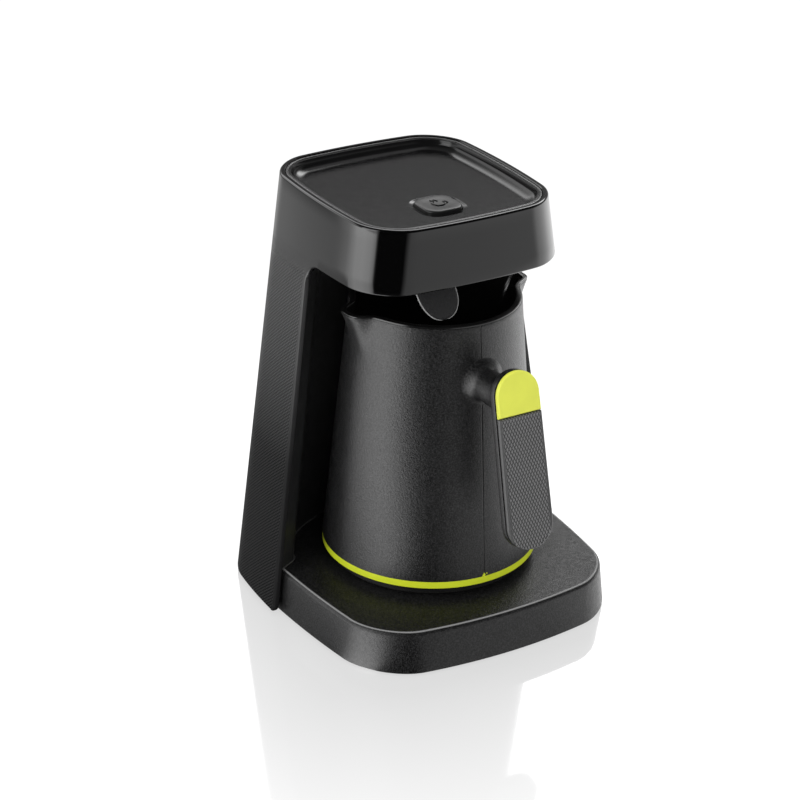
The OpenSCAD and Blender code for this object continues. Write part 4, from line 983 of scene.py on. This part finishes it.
def make_flap():
    """The blade, a bent plate with a round tip, and the bright bead along its outline."""
    path = flap_path()
    walked = np.concatenate([[0], np.cumsum(np.hypot(*np.diff(path, axis=0).T))])
    t = np.linspace(0, 1, 46)
    fine = walked[-1] * (0.5 * t + 0.5 * (1 - np.cos(t * math.pi / 2)))
    py, pz = (np.interp(fine, walked, path[:, k]) for k in (0, 1))
    ty, tz = np.gradient(py), np.gradient(pz)
    ny, nz = -tz / np.hypot(ty, tz), ty / np.hypot(ty, tz)  # points forward and up
    r = flap_w / 2 - 0.4
    cz = flap_low + r
    edge = 0.7
    top, low, side = [], [], []
    for y, z, ay, az in zip(py, pz, ny, nz):
        half = r if z > cz else math.sqrt(max(r * r - (cz - z) ** 2, 0.01))
        x = np.linspace(-1, 1, 33) * half
        near = half - np.abs(x)
        if z < cz:
            near = np.minimum(near, np.maximum(r - np.hypot(x, z - cz), 0))
        k = np.clip(near / edge, 0, 1)
        off = (flap_t / 2 - 0.5) * (0.35 + 0.65 * np.sqrt(1 - (1 - k) ** 2))
        top.append(np.column_stack([x, y + ay * off, z + az * off]))
        low.append(np.column_stack([x, y - ay * off, z - az * off]))
        side.append((half, y, z))
    skin = Skin().grid(top).grid(low)
    skin.tube([grid_edge(np.array(g)) for g in (top, low)])
    skin.make("flap_blade", MAT["flap"], "flap", "flap_grey", ["sensor_flap"], sharp=40)
    right = side[1:34]
    points = [(-x, y, z) for x, y, z in right[::-1]] + right
    bead("flap_bead", points, 0.38, MAT["flap_edge"], "flap", "flap_edge", ["flap_rim"])


# ---------------------------------------------------------------- CAD nodes that stay


def dress(names, mat):
    for name in names:
        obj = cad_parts[name]
        obj.data.materials.clear()
        obj.data.materials.append(mat)


steel = plain("screw_steel", (0.55, 0.55, 0.56), 0.3, 0.3, 0.006, metallic=1.0)
brass = plain("contact_brass", (0.72, 0.5, 0.2), 0.3, 0.3, 0.005, metallic=1.0)
aluminium = plain("heater_aluminium", (0.6, 0.6, 0.61), 0.35, 0.3, 0.01, metallic=1.0)
DRESS = [
    (["base_screws", "shell_screws", "ceiling_screws", "contact_screws", "control_board_screws",
      "power_board_screws", "flap_bracket_screws", "flap_pin", "pot_base_screws", "handle_screw",
      "thermal_fuse"], steel),
    (["contact_blades", "pot_contacts"], brass),
    (["base_plate", "contact_block", "cord_gland", "gland_nut", "button_guide", "pot_base_cover"],
     MAT["cover"]),
    (["rubber_feet"], plain("foot_rubber", (0.02, 0.02, 0.02), 0.75, 0.4, 0.03)),
    (["head_ceiling", "flap_bracket"], MAT["ceiling"]),
    (["pot_ring"], MAT["lime_ring"]),
    (["sensor_lenses"], plain("lens_red", (0.1, 0.008, 0.012), 0.1, 1.0, 0.002)),
    (["control_board"], plain("board_green", (0.02, 0.12, 0.045), 0.35, 0.8, 0.02)),
    (["power_board"], plain("board_tan", (0.36, 0.26, 0.06), 0.5, 0.8, 0.02)),
    (["tact_switch", "buzzer", "microcontroller", "smoothing_capacitors"],
     plain("component_black", (0.02, 0.02, 0.022), 0.45)),
    (["board_connectors", "switch_stem", "indicator_leds"],
     plain("component_cream", (0.75, 0.72, 0.6), 0.45, vary=0.05)),
    (["relay"], plain("relay_blue", (0.03, 0.09, 0.42), 0.35)),
    (["transformer", "filter_capacitor"], plain("winding_yellow", (0.6, 0.47, 0.05), 0.4)),
    (["terminal_block"], plain("terminal_green", (0.04, 0.25, 0.08), 0.4)),
    (["fuse"], plain("fuse_body", (0.7, 0.72, 0.75), 0.12, 0.8, 0.003)),
    (["head_harness"], plain("wire_red", (0.35, 0.015, 0.01), 0.5)),
    (["base_harness"], plain("wire_blue", (0.01, 0.04, 0.3), 0.5)),
    (["pot_wires"], plain("wire_sleeve", (0.5, 0.47, 0.38), 0.8, 0.4, 0.05)),
    (["vessel_seal"], plain("seal_silicone", (0.3, 0.05, 0.03), 0.6)),
    (["heater_plate", "heating_element"], aluminium),
    (["thermostat"], plain("thermostat_ceramic", (0.6, 0.56, 0.46), 0.5)),
]
for names, mat in DRESS:
    dress(names, mat)

make_shell()
make_base()
make_panel()
make_deck_beads()
make_trim()
make_tray()
make_button()
make_mark()
make_pot()
make_ring_key()
make_vessel()
make_horn()
make_strap()
make_core()
make_plate("grip_plate", MAT["grip"], "grip_grey", "handle_grip", cap_len, strap_len - plate_inset, True)
make_plate("cap_plate", MAT["lime_cap"], "lime_cap", "handle_cap", plate_inset, cap_len - 0.4, False)
make_flap()

# ---------------------------------------------------------------- camera, floor and light

CAMERA_TURN = (-31.658, 25.887, 1.29)  # azimuth, elevation and roll, degrees
CAMERA_TARGET = (-3.85, 24.5, 95.59)
CAMERA_DISTANCE = 1244.9
CAMERA_LENS, CAMERA_SENSOR = 111.15, 36


def make_camera():
    azimuth, elevation, roll = (math.radians(a) for a in CAMERA_TURN)
    level = math.cos(elevation)
    back = Vector((math.sin(azimuth) * level, -math.cos(azimuth) * level, math.sin(elevation)))
    right = (-back).cross(Vector((0, 0, 1))).normalized()
    up = right.cross(-back)
    x_axis = right * math.cos(roll) + up * math.sin(roll)
    y_axis = up * math.cos(roll) - right * math.sin(roll)
    place = (Vector(CAMERA_TARGET) + back * CAMERA_DISTANCE) * MM
    data = bpy.data.cameras.new("camera")
    data.lens, data.sensor_width = CAMERA_LENS, CAMERA_SENSOR
    cam = add("camera", data)
    cam.matrix_world = Matrix((*zip(x_axis, y_axis, back, place), (0, 0, 0, 1)))
    bpy.context.scene.camera = cam


# What glossy surfaces see of the studio, by azimuth in degrees, where 0 is in front of the machine
# and 90 to its left. A dark flag stands from 15 to 69, a pale panel beyond it, and a bright one high
# up behind the machine, on its right.
# Floor: azimuth, radiance, its gain close to the machine, a painted shade where it is below 1 and a
# painted pool of light where it is above 1, and its gain in the machine's wide shadow, a painted shadow.
FLOOR_STOPS = [
    (-180, 0.33, 0.7, 0.3), (-140, 0.9, 0.7, 0.6), (-100, 2.3, 0.7, 1), (-64, 2.0, 0.7, 1),
    (-50, 1.05, 0.7, 1), (-32, 1.0, 0.7, 1), (-14, 0.95, 0.7, 1), (3, 0.9, 0.7, 1), (15, 0.02, 0.7, 1),
    (69, 0.02, 1.3, 1), (72, 2.0, 1.3, 1), (79, 3.2, 1.3, 1), (95, 3.7, 1.3, 1), (115, 3.3, 1.2, 1),
    (135, 1.7, 1.0, 0.8), (141, 0.35, 0.7, 0.3), (152, 0.29, 0.7, 0.3), (180, 0.33, 0.7, 0.3)]
FLOOR_CENTRE = (-0.055, -0.05, 0)
NEAR_TURN = math.radians(22)  # close by, the studio is seen from the base's corner
# World: azimuth and the radiances at the horizon, above it and high up.
WORLD_STOPS = [
    (-180, 0.3, 2.3, 2.4), (-168, 0.3, 0.6, 2.8), (-155, 0.3, 0.2, 3.0), (-147, 0.3, 0.22, 3.3),
    (-141, 0.4, 0.3, 6.5), (-122, 0.4, 0.35, 8.0), (-105, 0.8, 0.3, 0.6), (-60, 0.6, 0.1, 0.1),
    (-14, 0.4, 0.06, 0.06), (9, 0.02, 0.04, 0.05), (66, 0.02, 0.04, 0.05), (72, 2.0, 0.5, 0.3),
    (120, 2.0, 0.8, 0.5), (135, 1.0, 2.0, 2.0), (143, 0.3, 2.3, 2.0), (180, 0.3, 2.3, 2.4)]
STUDIO_MAX = 8.0
LIGHT_LEVEL = 0.72
# The machine's footprint on the floor, metres: a box and the radius it's grown by.
FOOTPRINT_CORE = (0.052, 0.055, 0)
FOOTPRINT_R = 0.028


def studio(tree, vector, stops, turned=0.0):
    """Three values of the studio by a vector's azimuth, to which the angle turned is added."""
    x, y, _ = xyz(tree, vector)
    turn = math_node(tree, "ARCTAN2", times(tree, x, -1.0), times(tree, y, -1.0))
    turn = math_node(tree, "ADD", turn, turned)
    ramp = node(tree, "ShaderNodeValToRGB", Fac=spread(tree, turn, 0, 1, -math.pi, math.pi))
    elements = ramp.color_ramp.elements
    for i, (azimuth, *values) in enumerate(stops):
        place = (azimuth + 180) / 360
        stop = elements[0] if i == 0 else elements[-1] if i == len(stops) - 1 else elements.new(place)
        stop.position = place
        stop.color = (*[v / STUDIO_MAX for v in values], 1)
    parts = node(tree, "ShaderNodeSeparateColor", Color=ramp.outputs["Color"])
    return [times(tree, part, STUDIO_MAX) for part in parts.outputs]


def by_ray(tree, camera, glossy, other):
    """One value for camera rays, one for glossy and transmission rays and one for the rest."""
    path = node(tree, "ShaderNodeLightPath")
    cam = path.outputs["Is Camera Ray"]
    gloss = math_node(tree, "MAXIMUM", path.outputs["Is Glossy Ray"], path.outputs["Is Transmission Ray"])
    rest = math_node(tree, "SUBTRACT", 1.0, math_node(tree, "MAXIMUM", cam, gloss))
    seen = math_node(tree, "ADD", times(tree, cam, camera), times(tree, gloss, glossy))
    return math_node(tree, "ADD", seen, times(tree, rest, other))


def make_world():
    world = bpy.data.worlds.new("studio")
    bpy.context.scene.world = world
    world.use_nodes = True
    tree = world.node_tree
    background = tree.nodes["Background"]
    background.inputs["Color"].default_value = (1, 1, 1, 1)
    sky = coords(tree, "Generated")
    low, mid, high = studio(tree, sky, WORLD_STOPS)
    z = xyz(tree, sky)[2]

    def rise(start, stop):
        return spread(tree, z, 0, 1, math.sin(math.radians(start)), math.sin(math.radians(stop)))

    glossy = blend(tree, rise(24, 29), blend(tree, rise(8, 15), low, mid), high)
    glossy = times(tree, glossy, blend(tree, rise(34, 41), 1.0, 0.08))
    feed(tree, background.inputs["Strength"], by_ray(tree, 1.0, glossy, LIGHT_LEVEL))


def floor_material():
    """A white floor: what the camera, glossy surfaces and the rest of the light see of it."""
    m, tree, shader = material("floor_white")
    place = coords(tree)
    shift = vector_node(tree, "SUBTRACT", place, FLOOR_CENTRE)
    far = vector_node(tree, "LENGTH", shift)
    seen, near, wide = studio(tree, shift, FLOOR_STOPS, spread(tree, far, NEAR_TURN, 0, 0.08, 0.2))
    # both gains fade out with the distance from the machine, in metres
    glossy = times(tree, seen, blend(tree, spread(tree, far, 0, 1, 0.10, 0.28), near, 1.0))
    glossy = times(tree, glossy, blend(tree, spread(tree, far, 0, 1, 0.2, 0.85), wide, 1.0))
    # how far the floor lies outside the machine's footprint, beside which its glow is turned down, a
    # painted shade round the machine
    gap = vector_node(tree, "SUBTRACT", vector_node(tree, "ABSOLUTE", place), FOOTPRINT_CORE)
    gap = vector_node(tree, "LENGTH", vector_node(tree, "MAXIMUM", gap, (0, 0, 0)))
    floor_glow_painted_shade = spread(tree, gap, 0.63, 0.91, FOOTPRINT_R, FOOTPRINT_R + 0.16)
    feed(tree, shader.inputs["Base Color"], by_ray(tree, 0.12, 0.0, 0.86))
    shader.inputs["Roughness"].default_value = 0.06
    shader.inputs["Specular IOR Level"].default_value = 1.0
    shader.inputs["Emission Color"].default_value = (1, 1, 1, 1)
    feed(tree, shader.inputs["Emission Strength"], by_ray(tree, floor_glow_painted_shade, glossy, 0.0))
    m.cycles.emission_sampling = "NONE"
    return m


def make_floor():
    half = 12.0
    corners = [(x * half, y * half, 0) for x, y in ((-1, -1), (1, -1), (1, 1), (-1, 1))]
    mesh = bpy.data.meshes.new("floor")
    mesh.from_pydata(corners, [], [(0, 1, 2, 3)])
    mesh.materials.append(floor_material())
    floor = add("floor", mesh)


def make_light(name, place, target, width, height, radiance, glossy=True):
    data = bpy.data.lights.new(name, "AREA")
    data.shape = "RECTANGLE"
    data.size, data.size_y = width, height
    data.energy = radiance * math.pi * width * height
    lamp = add(name, data)
    lamp.location = place
    lamp.rotation_euler = (Vector(target) - Vector(place)).to_track_quat("-Z", "Y").to_euler()
    lamp.visible_camera = False
    lamp.visible_glossy = glossy


def polar(azimuth, distance, z):
    """A place round the machine: azimuth 0 is in front of it, 90 to its left."""
    a = math.radians(azimuth)
    return (-math.sin(a) * distance, -math.cos(a) * distance, z)


make_camera()
make_world()
make_floor()
make_light("left_panel", polar(88, 0.85, 0.5), (0, 0, 0.12), 0.5, 0.6, 3.0)
make_light("top_panel", (0.05, 0.1, 1.3), (0, 0, 0.1), 0.5, 0.5, 3.2, glossy=False)
make_light("front_fill", polar(10, 1.2, 0.9), (0, 0, 0.1), 0.8, 0.8, 2.5, glossy=False)

scene = bpy.context.scene
scene.view_settings.view_transform = "Standard"
